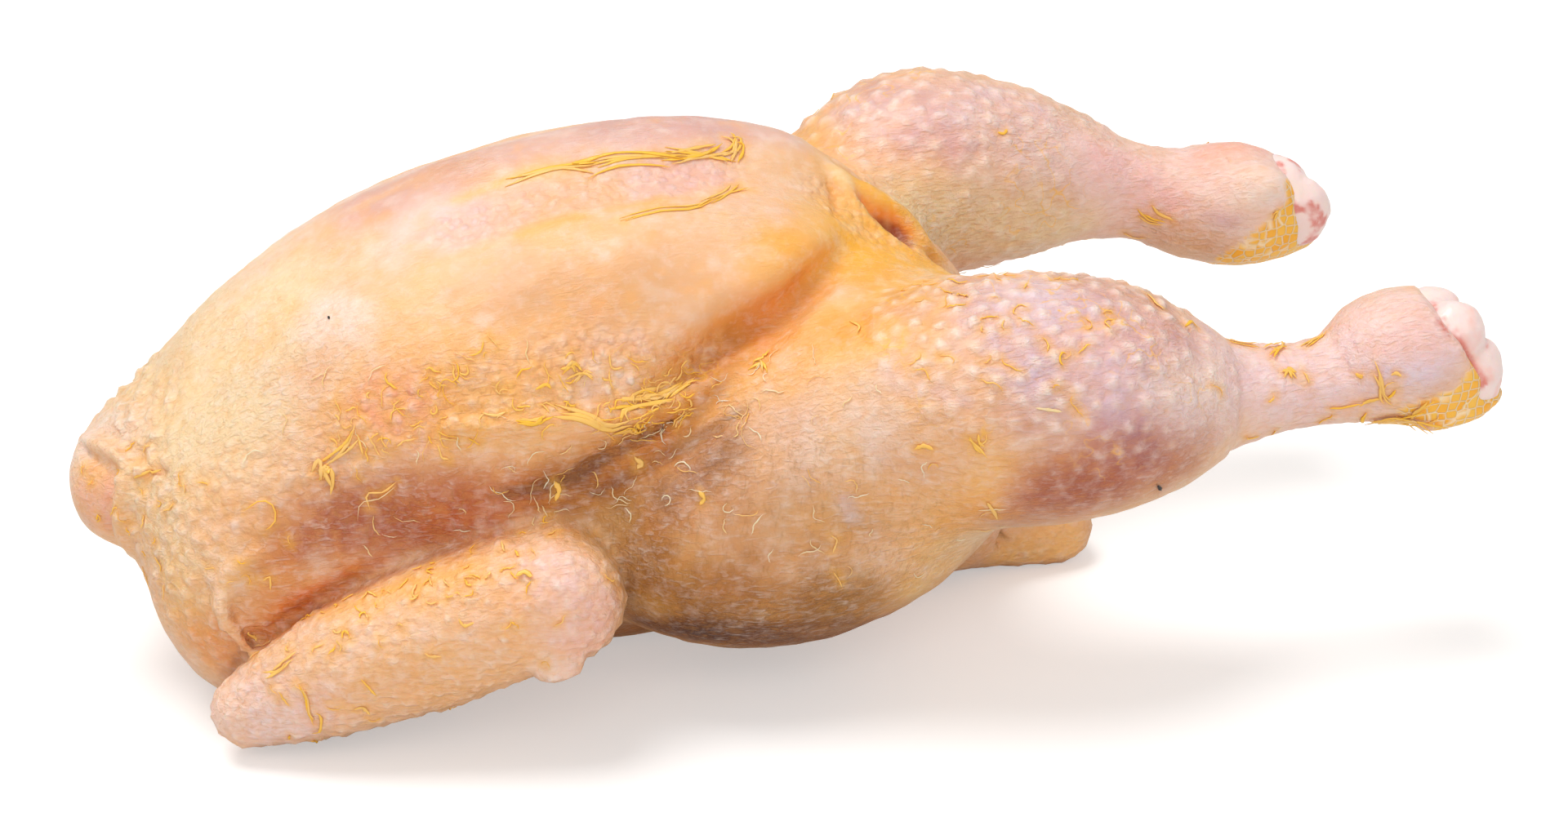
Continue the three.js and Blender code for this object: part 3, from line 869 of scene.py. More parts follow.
    Blush(Tone.YOLK, ((-52, -12, 115, 0.8), (-38, -11, 119, 1.2), (-18, -11, 121, 1.2), (6, -8, 121,
          1.8)), 1.6, 0.6, True, 1.2),
    Blush(Tone.FAT, ((-62, -28, 106, 1), (-28, -27, 115, 1), (-4, -25, 116, 1.2), (8, -20, 117, 1.5)),
          2, 0.7, True, 1.2),
)


# Glazes go over the mottling: bloodless, thin or yellow skin that keeps its own even tone, and painted
# bounce light, cream, that lightens the underside of the far drumstick.
GLAZES_AND_BOUNCE_LIGHT = (
    # Painted bounce light on the underside of the far drumstick.
    Blush(Tone.CREAM, ((62, 14, 92, 8), (84, 24, 82, 10), (104, 28, 76, 9)), 8, 0.75, False),
    Blush(Tone.PEARL, ((64, 30, 110, 8), (84, 28, 102, 9), (104, 28, 96, 8)), 8, 0.3, False),
    Blush(Tone.SHELL, ((112, 32, 90, 6), (124, 33, 87, 6)), 6, 0.6, False),
    Blush(Tone.PEARL, ((96, -80, 82, 6), (106, -76, 82, 6)), 7, 0.4),
    Blush(Tone.LILAC, ((66, -80, 92, 8), (84, -82, 88, 8)), 8, 0.22),
    Blush(Tone.LILAC, ((116, -64, 76, 8), (140, -64, 74, 9), (160, -66, 76, 8)), 8, 0.24),
    Blush(Tone.CREAM, ((-122, -14, 70, 10), (-112, -24, 76, 12), (-104, -34, 72, 8)), 9, 0.45),
    Blush(Tone.PINK, ((-75, -47.5, 83.5, 5), (-69, -49.5, 84, 5)), 5, 0.5),
    Blush(Tone.GOLD, ((50, -60, 34, 6), (46, -62, 28, 5)), 6, 0.5),
    Blush(Tone.GOLD, ((-123, -36, 44, 6), (-121, -38, 38, 6)), 6, 0.4),
    Blush(Tone.PEARL, ((-113, -57, 17, 7), (-104, -63, 17, 6)), 6, 0.35),
    Blush(Tone.PEARL, ((-24, -55.7, 88.4, 4), (-34, -56, 87, 3)), 5, 0.5),
)

# Painted shade and stains multiply the colour under them: painted shade in the fold and its creases,
# beside the wing and under the thigh, trunk and drumsticks; stains of deep meat and of thick yellow fat
# seen through the skin.
SHADE_AND_STAINS = (
    Blush(Tone.DEEP_GOLD, ((16, -40, 96, 5), (2, -47, 90, 7), (-12, -56, 80, 8), (-28, -60, 70, 7),
          (-44, -60, 63, 6)), 7, 0.9),
    Blush(Tone.DEEP_OLIVE, ((-30, -60, 66, 6), (-38, -60, 60, 6), (-22, -64, 54, 7)), 8, 0.8),
    Blush(Tone.DEEP_OLIVE, ((-20, -64, 40, 9), (-4, -68, 31, 8), (16, -68, 30, 8), (28, -65, 31, 5)), 9,
          0.9),
    Blush(Tone.DEEP_BROWN, ((-26, -58, 26, 6), (-6, -62, 21, 7), (14, -60, 18, 7), (34, -54, 20, 5)), 8,
          0.95),
    Blush(Tone.DEEP_GOLD, ((-6, -66, 62, 8), (-16, -67, 50, 9), (6, -70, 42, 8)), 9, 0.55),
    Blush(Tone.DEEP_PINK, ((66, -83, 61, 8), (80, -85, 67, 9), (94, -80, 64, 6)), 7, 0.9),
    Blush(Tone.DEEP_GOLD, ((-100, -49, 45, 6), (-92, -50, 40, 6), (-80, -53, 46, 5)), 5, 0.6),
    Blush(Tone.DEEP_PINK, ((-82, -51, 58, 8), (-64, -55, 58, 8)), 6, 0.35),
    Blush(Tone.DEEP_GOLD, ((14, -52, 88, 5), (26, -56, 93, 6), (38, -56, 97, 5)), 5, 0.4),
    Blush(Tone.DEEP_GOLD, ((50, -76, 50, 5), (52, -82, 58, 6)), 7, 0.5),
    Blush(Tone.DEEP_OLIVE, ((-46, -58, 63, 4), (-36, -58.5, 66, 5), (-28, -59, 62, 5)), 6, 0.7),
    Blush(Tone.DEEP_LEMON, ((16, -38, 102, 7), (34, -32, 101, 9), (44, -42, 97, 9), (28, -56, 94, 8)),
          8, 0.8),
    Blush(Tone.DEEP_LEMON, ((3, -48, 90, 6), (-10, -55, 81, 7), (-26, -59, 69, 7)), 7, 0.9),
    Blush(Tone.DEEP_LEMON, ((40, -12, 109, 7), (50, -16, 99, 9), (58, -20, 92, 6)), 6, 0.8, False),
    Blush(Tone.DEEP_GOLD, ((-98, -48.5, 54, 6), (-80, -51.5, 58, 8), (-62, -56, 60, 7)), 7, 0.6),
    Blush(Tone.DEEP_GOLD, ((-118, -42, 26, 6), (-112, -46, 30, 5)), 5, 0.65),
    Blush(Tone.DEEP_GOLD, ((60, -84, 66, 6), (76, -86, 69, 7), (90, -84, 69, 6)), 7, 0.55),
    Blush(Tone.DEEP_OLIVE, ((-4, -69, 58, 7), (6, -72, 56, 9), (22, -74, 52, 8)), 10, 0.55),
    Blush(Tone.DEEP_LEMON, ((-24, -65, 54, 6), (-16, -67, 46, 7)), 8, 0.7),
    Blush(Tone.DEEP_LEMON, ((-62, -54, 82, 4), (-50, -56, 84, 5)), 5, 0.85),
    Blush(Tone.DEEP_GOLD, ((-106, -48, 36, 4), (-98, -50, 40, 4)), 4, 0.5),
    Blush(Tone.DEEP_OLIVE, ((-16, -66, 40, 8), (6, -71, 38, 9), (22, -71, 36, 8)), 10, 0.75),
    Blush(Tone.DEEP_BROWN, ((-22, -58, 24, 5), (-6, -64, 25, 6), (10, -65, 24, 5)), 6, 0.85),
    Blush(Tone.DEEP_BROWN, ((-40, -40, 12, 8), (-18, -34, 13, 9), (14, -40, 10, 8)), 6, 0.9),
    Blush(Tone.DEEP_BROWN, ((-14, -63, 23, 5), (0, -65, 23, 6), (18, -63, 22, 5)), 5, 0.7),
    Blush(Tone.ASH, ((-16, -65, 62, 3), (-8, -65.5, 67, 4), (-2, -64, 72.5, 3)), 5, 0.8),
    Blush(Tone.ASH, ((-50, -57, 63.5, 0.8), (-38, -58, 65.3, 1.4), (-28, -57.6, 70, 1.4), (-14, -56, 76,
          0.8)), 2, 0.95, True, 0.3),
    Blush(Tone.ASH, ((-31.5, -59.6, 61.7, 0.6), (-19.5, -60, 68.5, 1.2), (-6.8, -60.4, 74.3, 1.2), (1.3,
          -60.6, 78.8, 0.6)), 2, 0.95, True, 0.3),
    Blush(Tone.DEEP_PINK, ((-68, -8, 112, 5), (-50, -5, 117, 5)), 5, 0.35),
    Blush(Tone.DEEP_OLIVE, ((-40, -42, 104, 7), (-18, -44, 104, 8)), 8, 0.25),
)


@dataclass(frozen=True)
class Tract:
    """A field of feather follicles: small domes in the skin."""

    stations: tuple[Station, ...]
    height: float
    pitch: float
    pale: float
    pebbly: float
    soft: float = 8.0
    paired: bool = True


TRACTS = (
    Tract(((54, -60, 86, 24), (80, -62, 84, 26), (104, -60, 72, 16)), 0.68, 4.3, 0.7, 0.3),
    Tract(((56, 44, 92, 26), (84, 48, 90, 27), (110, 46, 84, 14)), 0.6, 4.7, 0.55, 0.3,
          paired=False),
    Tract(((112, -57, 70, 12), (150, -57, 72, 14)), 0.3, 3.6, 0.15, 0.3),
    Tract(((112, 46, 82, 13), (150, 44, 74, 14)), 0.3, 3.6, 0.15, 0.3, paired=False),
    Tract(((0, -66, 62, 20), (30, -70, 56, 24)), 0.14, 4.6, 0.1, 0.15),
    Tract(((-112, -52, 14, 16), (-80, -62, 28, 20), (-42, -68, 40, 20)), 0.42, 3.3, 0.18, 0.5, 6),
    Tract(((-122, -10, 66, 12), (-121, -28, 50, 12), (-114, -38, 32, 14)), 0.85, 4.0, 0.15, 0.6, 6),
    Tract(((-112, -40, 60, 12), (-96, -46, 66, 10)), 0.5, 4.0, 0.15, 0.6, 6),
    Tract(((-84, -46, 74, 8), (-60, -50, 84, 9), (-30, -54, 88, 10), (-8, -52, 86, 8)),
          0.45, 3.9, 0.3, 0.8, 5),
    Tract(((-54, -20, 112, 5), (-34, -19, 116, 6), (-10, -19, 118, 6), (8, -16, 118, 5)),
          0.35, 3.6, 0.2, 0.5, 4),
    Tract(((-116, -8, 84, 18), (-90, -30, 90, 18), (-60, -44, 96, 16)), 0.1, 4.4, 0.05, 0.15, 10),
    Tract(((30, -14, 108, 6), (40, -18, 102, 8), (50, -20, 94, 7)), 0.3, 3.2, 0.1, 0.6, 4),
    Tract(((80, 0, 14, 14), (96, 0, 12, 12)), 0.3, 3.2, 0.1, 0.6, 5),
)


class Grain:
    """The relief of the skin, worked out for a set of points: follicles, lumps and pebbles."""

    BARE_PITCH, BARE_PEBBLY = 4.4, 0.06  # where no tract reaches
    DOME_EDGE, DOME_TOP = 0.62, 0.06  # shares of the pitch
    FAINTEST = 0.45  # strength of the weakest follicle
    BEND, BEND_SIZE, BEND_SEED = 0.9, 3.6, 81  # the noise that bends space, in millimetres
    LEAST_HEIGHT = 0.02  # skin with lower domes has no follicles
    BLOCK = 16.0  # the boxes in which near points are looked up, in millimetres
    DOME_RISE, DOME_BASE = 1.7, 0.3
    BROAD_RISE, LUMP_RISE, PEBBLE_RISE = 0.6, 0.28, 0.16

    def __init__(self, p: Array, seed: int = 11) -> None:
        """Lays the follicles out over the points.

        Args:
            p: points on the skin, in millimetres.
            seed: picks the layout.
        """
        self.p = p
        side = right_side(p)
        fray = Pattern.TRACT_EDGE.at(p)
        self.height, self.pitch = np.zeros(len(p)), np.full(len(p), self.BARE_PITCH)
        self.pale, self.pebbly = np.zeros(len(p)), np.full(len(p), self.BARE_PEBBLY)
        for tract in TRACTS:
            d = Limb(tract.stations, 3).distance(side if tract.paired else p)
            w = smooth_step(tract.soft, -tract.soft, d + 0.7 * tract.soft * fray)
            self.height = np.maximum(self.height, w * tract.height)
            self.pale = np.maximum(self.pale, w * tract.pale)
            self.pebbly = np.maximum(self.pebbly, w * tract.pebbly)
            self.pitch += w * (tract.pitch - self.pitch)
        self.dome = self.scattered(np.random.default_rng(seed))

    def scattered(self, rng: np.random.Generator) -> Array:
        """Scatters follicles no nearer to each other than the pitch and raises a dome on each.

        Args:
            rng: the seeded source of the order in which places are tried.

        Returns:
            The height of the domes from 0 to 1: a smooth fall from each follicle's middle, times
            a strength of its own. Space is bent by noise first, so that no dome is round.
        """
        order = rng.permutation(np.flatnonzero(self.height > self.LEAST_HEIGHT))
        share, strength = np.full(len(self.p), 9.0), np.zeros(len(self.p))
        bend = [Noise.value(self.p, self.BEND_SIZE, self.BEND_SEED + axis) for axis in range(3)]
        p = (self.p + self.BEND * np.stack(bend, 1)).astype(np.float32)
        near: dict[tuple[int, ...], Array] = {}
        key = np.floor(p / self.BLOCK).astype(int)
        span = key.max(0) - key.min(0) + 3
        flat = ((key - key.min(0) + 1) * [span[1] * span[2], span[2], 1]).sum(1)
        ranked = np.argsort(flat, kind="stable")
        starts = np.searchsorted(flat[ranked], np.arange(span.prod() + 1))
        steps = [i * span[1] * span[2] + j * span[2] + k
                 for i in (-1, 0, 1) for j in (-1, 0, 1) for k in (-1, 0, 1)]
        self.centres = []
        for i in order:
            if share[i] < 1.0:
                continue
            self.centres.append(i)
            home = int(flat[i])
            if home not in near:
                near[home] = np.concatenate(
                    [ranked[starts[home + s] : starts[home + s + 1]] for s in steps]
                )
            rows = near[home]
            d = np.linalg.norm(p[rows] - p[i], axis=1) / self.pitch[i]
            closer = d < share[rows]
            share[rows[closer]] = d[closer]
            strength[rows[closer]] = rng.uniform(self.FAINTEST, 1.0)
        self.share, self.strength = np.minimum(share, 1), strength
        return smooth_step(self.DOME_EDGE, self.DOME_TOP, share) * strength

    def relief(self) -> Array:
        """The rise of the skin in millimetres: domes with gaps between them, on soft lumps.

        Returns:
            The domes' height above their base, with lumps of three sizes added.
        """
        lumps = self.BROAD_RISE * Pattern.BROAD_LUMPS.at(self.p)
        lumps += self.LUMP_RISE * Pattern.LUMPS.at(self.p)
        pebbles = self.PEBBLE_RISE * Pattern.PEBBLES.at(self.p)
        return self.DOME_RISE * self.height * (self.dome - self.DOME_BASE) + lumps + pebbles


@dataclass(frozen=True)
class Wash:
    """A tone laid where a noise goes past a level, with its strength everywhere and on parts."""

    tone: Tone
    pattern: Pattern
    start: float
    full: float
    everywhere: float = 0.0
    on_body: float = 0.0
    on_legs: float = 0.0


GROUND = (
    Wash(Tone.APRICOT, Pattern.DRIFT, 0.0, 0.5, on_body=0.5),
    Wash(Tone.ROSE, Pattern.DRIFT, 0.0, -0.5, 0.5),
)
CLOUDS = (
    Wash(Tone.FAT, Pattern.CLOUD, 0.1, 0.6, 0.06, 0.24),
    Wash(Tone.PINK, Pattern.CLOUD, -0.15, -0.6, 0.14),
)
SPECKS = (
    Wash(Tone.PEARL, Pattern.SPECK, 0.15, 0.6, 0.3),
    Wash(Tone.APRICOT, Pattern.SPECK, -0.15, -0.6, 0.08, 0.22),
    Wash(Tone.PLUM, Pattern.VEIN, 0.05, 0.5, on_legs=0.36),
    Wash(Tone.LILAC, Pattern.VEIN, -0.1, -0.5, on_legs=0.4),
)


class Complexion:
    """Paints the skin: ground colour, blushes, painted shade in the hollows and low down, mottling and
    follicles.
    """

    FOLD_REACH, CREASE_REACH = 9.0, 4.0  # how far out to look for the other side of a hollow
    FOLD_SHADE, CREASE_SHADE, LESS_BEHIND = 0.55, 0.45, 0.15
    FLESH_BETWEEN, PALE_TIPS = 0.42, 0.6  # strengths round and on the follicles
    # Strengths of the painted shade, honey, low on the bird, and of the blood at the cuts.
    UNDERSIDE_WARMTH, BLOOD = 0.5, 0.8

    def __init__(self, chicken: Chicken, grain: Grain) -> None:
        """Keeps the bird and its grain."""
        self.chicken, self.grain = chicken, grain
        self.colour = np.tile(Tone.SKIN.rgb, (len(grain.p), 1))
        self.body = smooth_step(108, 60, grain.p[:, 0])
        self.legs = smooth_step(0.2, 0.4, grain.pale)

    def lay(self, tone: Tone, weight: Array) -> None:
        """Mixes a tone over the colour so far."""
        self.colour += weight[:, None] * (tone.rgb - self.colour)

    def wash(self, washes: Iterable[Wash]) -> None:
        """Lays washes one after another.

        Args:
            washes: the washes; each is as strong as a smooth step of its noise times the sum of
                its strengths there.
        """
        for one in washes:
            strength = one.everywhere + one.on_body * self.body + one.on_legs * self.legs
            noise = one.pattern.at(self.grain.p)
            self.lay(one.tone, strength * smooth_step(one.start, one.full, noise))

    def hollow(self, p: Array, out: Array, reach: float) -> Array:
        """How shut in each point is: 0 in the open, 1 deep in a fold.

        Args:
            p: points on the skin.
            out: the directions out of the skin.
            reach: how far out to look, in millimetres.

        Returns:
            One less the clear distance at that reach over the reach.
        """
        return np.clip(1 - self.chicken.measured(p + out * reach) / reach, 0, 1)

    def painted(self, p: Array, out: Array) -> Array:
        """The colour of each point, laid from the ground tones up to the blood at the cuts.

        Args:
            p: points on the skin, in millimetres.
            out: the directions out of the skin.

        Returns:
            Rows of linear red, green and blue.
        """
        side, fray = right_side(p), Pattern.FRAY.at(p)
        behind = smooth_step(-66, -48, p[:, 0])
        # Folds and creases get painted shade, stronger the more shut in a point is. The neck and the
        # vent are open, so their hollows aren't darkened as folds are.
        fold = smooth_step(-126, -112, p[:, 0])
        fold *= smooth_step(3, 14, self.chicken.vent.slit.distance(p))
        self.wash(GROUND)
        # Painted shade: honey, warmer and darker, low down on the bird behind the breast.
        low_thigh_shade = smooth_step(46, 12, p[:, 2]) * smooth_step(-50, -20, p[:, 0])
        self.lay(Tone.HONEY, self.UNDERSIDE_WARMTH * low_thigh_shade)
        deep = smooth_step(0.3, 0.85, self.hollow(p, out, self.FOLD_REACH))
        deep = self.FOLD_SHADE * fold * deep
        self.lay(Tone.RUSSET, deep * (1 - behind))
        self.lay(Tone.OCHRE, deep * behind)
        for blush in BLUSHES:
            self.lay(blush.tone, blush.weight(p, side, fray))
        self.wash(CLOUDS)
        shade = self.CREASE_SHADE - self.LESS_BEHIND * behind
        shut = smooth_step(0.4, 0.9, self.hollow(p, out, self.CREASE_REACH))
        self.lay(Tone.BROWN, shade * fold * shut)
        self.wash(SPECKS)
        # Dark leg meat between the follicles, with painted shade in the gaps between the domes.
        self.lay(Tone.DUSK, self.FLESH_BETWEEN * self.grain.pale * (1 - self.grain.dome))
        self.lay(Tone.PEARL, self.PALE_TIPS * self.grain.pale * self.grain.dome)
        # Glazes and painted bounce light go over the mottling.
        for glaze_or_light in GLAZES_AND_BOUNCE_LIGHT:
            self.lay(glaze_or_light.tone, glaze_or_light.weight(p, side, fray))
        # Multiplies in the painted shade and the stains.
        for stain in SHADE_AND_STAINS:
            self.colour *= 1 - stain.weight(p, side, fray)[:, None] * (1 - stain.tone.rgb)
        bloody = self.BLOOD * smooth_step(-0.1, 0.5, Pattern.BLOOD.at(p))
        for hock in HOCKS:
            self.lay(Tone.RED, bloody * smooth_step(-1.4, -0.4, hock.beyond(p)))
        return self.colour


# ---------------------------------------------------------------- the net of skin


@dataclass(frozen=True)
class SkinNet:
    """A fine net of quads over a distance field."""

    low: tuple[float, float, float] = (-150.0, -94.0, -2.0)
    high: tuple[float, float, float] = (192.0, 90.0, 134.0)
    step: float = SKIN_STEP
    coarsest: int = 8
    slack: float = 3.8  # how many cells of this pass away the surface is still looked for

    def values(self, field: Field) -> tuple[Array, Array]:
        """Samples a field on a grid, finely only near the surface.

        Args:
            field: the distance field.

        Returns:
            The grid's lowest corner and the values on it. Each pass halves the step and measures
            only where the coarser value is small enough for the surface to be near.
        """
        low = np.array(self.low)
        blocks = np.ceil((np.array(self.high) - low) / self.step / self.coarsest).astype(int)
        count = blocks * self.coarsest + 1
        coarse, values = self.coarsest, None
        while coarse >= 1:
            size = (count - 1) // coarse + 1
            if values is None:
                finer, near = np.zeros(size), np.ones(size, bool)
            else:
                finer = values
                for axis in range(3):
                    finer = np.repeat(finer, 2, axis)
                finer = finer[: size[0], : size[1], : size[2]].copy()
                near = np.abs(finer) < self.step * coarse * self.slack
            index = np.argwhere(near)
            finer[near] = field(low + index * self.step * coarse)
            values, coarse = finer, coarse // 2
        return low, values

    def net(self, field: Field) -> tuple[Array, Array]:
        """One vertex in every grid cell the surface passes, one quad across every edge it cuts.

        Args:
            field: the distance field.

        Returns:
            The vertices, each the mean of the cell's edge crossings, and the quads, facing out.
        """
        low, values = self.values(field)
        inside = values < 0
        n = values.shape
        corner = [(i, j, k) for i in (0, 1) for j in (0, 1) for k in (0, 1)]
        filled = sum(
            inside[i : n[0] - 1 + i, j : n[1] - 1 + j, k : n[2] - 1 + k].astype(np.int8)
            for i, j, k in corner
        )
        active = (filled > 0) & (filled < 8)
        cells = np.argwhere(active)
        number = np.full(active.shape, -1)
        number[active] = np.arange(len(cells))
        total, crossings = np.zeros((len(cells), 3)), np.zeros(len(cells))
        for start in corner:
            for axis in range(3):
                if start[axis]:
                    continue
                end = np.array(start)
                end[axis] = 1
                a = values[tuple((cells + start).T)]
                b = values[tuple((cells + end).T)]
                cut = (a < 0) != (b < 0)
                share = np.where(cut, a / np.where(cut, a - b, 1), 0)
                point = np.tile(np.array(start, float), (len(cells), 1))
                point[:, axis] = share
                total += point * cut[:, None]
                crossings += cut
        vertices = low + (cells + total / crossings[:, None]) * self.step
        return vertices, np.concatenate([self.quads(inside, number, axis) for axis in range(3)])

    @staticmethod
    def quads(inside: Array, number: Array, axis: int) -> Array:
        """The quads across the grid edges that run along one axis.

        Args:
            inside: which grid points are inside.
            number: the vertex in each cell.
            axis: 0, 1 or 2.

        Returns:
            Rows of four vertex numbers, wound to face outwards.
        """
        b, c = (axis + 1) % 3, (axis + 2) % 3
        lower = [slice(1, s - 1) for s in inside.shape]
        lower[axis] = slice(0, inside.shape[axis] - 1)
        upper = list(lower)
        upper[axis] = slice(1, inside.shape[axis])
        one, two = inside[tuple(lower)], inside[tuple(upper)]
        rows = []
        for leaving, mask in ((True, one & ~two), (False, ~one & two)):
            at = np.argwhere(mask)
            at[:, [b, c]] += 1
            ring = []
            for back_b, back_c in ((0, 0), (1, 0), (1, 1), (0, 1)):
                cell = at.copy()
                cell[:, b] -= back_b
                cell[:, c] -= back_c
                ring.append(number[tuple(cell.T)])
            rows.append(np.stack(ring if leaving else ring[::-1], 1))
        return np.concatenate(rows)


# ---------------------------------------------------------------- putting meshes into the scene


def add_mesh(name: str, vertices: Array, faces: Array) -> bpy.types.Object:
    """Makes a mesh object from arrays and hangs it on the bird.

    Args:
        name: the piece's name.
        vertices: points in millimetres in the working frame.
        faces: rows of three or four vertex numbers.

    Returns:
        The new object, its place in its mesh.
    """
    mesh = bpy.data.meshes.new(name)
    sides = faces.shape[1]
    mesh.vertices.add(len(vertices))
    mesh.vertices.foreach_set("co", ((vertices + TO_PART) * MM).astype(np.float32).ravel())
    mesh.loops.add(faces.size)
    mesh.loops.foreach_set("vertex_index", faces.astype(np.int32).ravel())
    mesh.polygons.add(len(faces))
    mesh.polygons.foreach_set("loop_start", np.arange(len(faces), dtype=np.int32) * sides)
    mesh.polygons.foreach_set("use_smooth", np.ones(len(faces), bool))
    mesh.update(calc_edges=True)
    mesh.validate()
    piece = bpy.data.objects.new(name, mesh)
    bpy.context.scene.collection.objects.link(piece)
    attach(piece, "root")
    return piece


def add_layer(piece: bpy.types.Object, name: str, values: Array) -> None:
    """Stores a number or a colour on every vertex.

    Args:
        piece: the object.
        name: the attribute's name.
        values: one number, or three linear colour values, a vertex.
    """
    if values.ndim == 1:
        layer = piece.data.attributes.new(name, "FLOAT", "POINT")
        layer.data.foreach_set("value", values.astype(np.float32))
        return
    layer = piece.data.attributes.new(name, "FLOAT_COLOR", "POINT")
    rgba = np.column_stack([values, np.ones(len(values))])
    layer.data.foreach_set("color", rgba.astype(np.float32).ravel())


# ---------------------------------------------------------------- finishes


Socket = bpy.types.NodeSocket


class Graph:
    """A material's node tree, with one function that adds a node and short names for its uses."""

    def __init__(self, name: str) -> None:
        """Starts an empty material of that name."""
        self.material = bpy.data.materials.new(name)
        self.material.use_nodes = True
        self.tree = self.material.node_tree
        self.tree.nodes.clear()

    def node(self, kind: str, settings: dict | None = None, **inputs: object) -> bpy.types.Node:
        """Adds a node with its settings and links.

        Args:
            kind: the node's type name without ShaderNode.
            settings: attributes of the node itself.
            **inputs: a value or a socket for each input, its name in lower case with underscores.

        Returns:
            The new node.
        """
        made = self.tree.nodes.new("ShaderNode" + kind)
        for key, value in (settings or {}).items():
            setattr(made, key, value)
        for key, value in inputs.items():
            socket = self.socket(made, key)
            if isinstance(value, bpy.types.NodeSocket):
                self.tree.links.new(value, socket)
            else:
                socket.default_value = value
        return made

    @staticmethod
    def socket(node: bpy.types.Node, key: str) -> bpy.types.NodeSocket:
        """Finds an input of a node.

        Args:
            node: the node.
            key: the input's name in lower case with underscores, or in_ and its number.

        Returns:
            The input of that number, or the enabled one of that name.
        """
        if key.startswith("in_"):
            return node.inputs[int(key[3:])]
        wanted = key.replace("_", " ").lower()
        return next(s for s in node.inputs if s.name.lower() == wanted and s.enabled)

    def layer(self, name: str) -> Socket:
        """The number stored on the vertices under a name."""
        return self.node("Attribute", {"attribute_name": name}).outputs["Fac"]

    def tone(self) -> Socket:
        """The colour stored on the vertices."""
        return self.node("Attribute", {"attribute_name": "tone"}).outputs["Color"]

    def place(self) -> Socket:
        """The place on the piece, in metres."""
        return self.node("TexCoord").outputs["Object"]

    def noise(self, at: Socket, scale: float, **settings: float) -> Socket:
        """Noise from 0 to 1, its scale in cells a metre."""
        return self.node("TexNoise", vector=at, scale=scale, **settings).outputs["Fac"]

    def math(self, operation: str, *values: Socket | float) -> Socket:
        """The result of one sum on one, two or three values."""
        inputs = {f"in_{i}": value for i, value in enumerate(values)}
        return self.node("Math", {"operation": operation}, **inputs).outputs["Value"]

    def product(self, first: Socket, *others: Socket | float) -> Socket:
        """Multiplies a socket by others, one after another.

        Args:
            first: the first factor.
            *others: the other factors.

        Returns:
            The product.
        """
        for other in others:
            first = self.math("MULTIPLY", first, other)
        return first

    def ramp(self, value: Socket, start: float, end: float, top: float = 1.0,
             bottom: float = 0.0, kind: str = "LINEAR") -> Socket:
        """Maps a value to a height that stays level on either side of the slope.

        Args:
            value: the value.
            start: where the slope begins, at the bottom.
            end: where it ends, at the top; lower than start for a fall.
            top: the height at the end.
            bottom: the height at the start.
            kind: the interpolation.

        Returns:
            The height.
        """
        made = self.node("MapRange", {"interpolation_type": kind}, value=value, from_min=start,
                         from_max=end, to_min=bottom, to_max=top)
        return made.outputs["Result"]

    def over(self, under: Socket | Tone, share: Socket, top: Socket | Tone) -> Socket:
        """Mixes one colour over what is under it.

        Args:
            under: the colour so far, or a tone.
            share: how much of the top colour shows, from 0 to 1.
            top: the colour or tone on top.

        Returns:
            The mixed colour.
        """
        colours = [(*c.rgb, 1) if isinstance(c, Tone) else c for c in (under, top)]
        made = self.node("Mix", {"data_type": "RGBA"}, in_0=share, in_6=colours[0], in_7=colours[1])
        return made.outputs[2]

    def finished(self, **inputs: object) -> bpy.types.Material:
        """The material, its surface a principled shader with these inputs."""
        self.node("OutputMaterial", surface=self.node("BsdfPrincipled", **inputs).outputs["BSDF"])
        return self.material


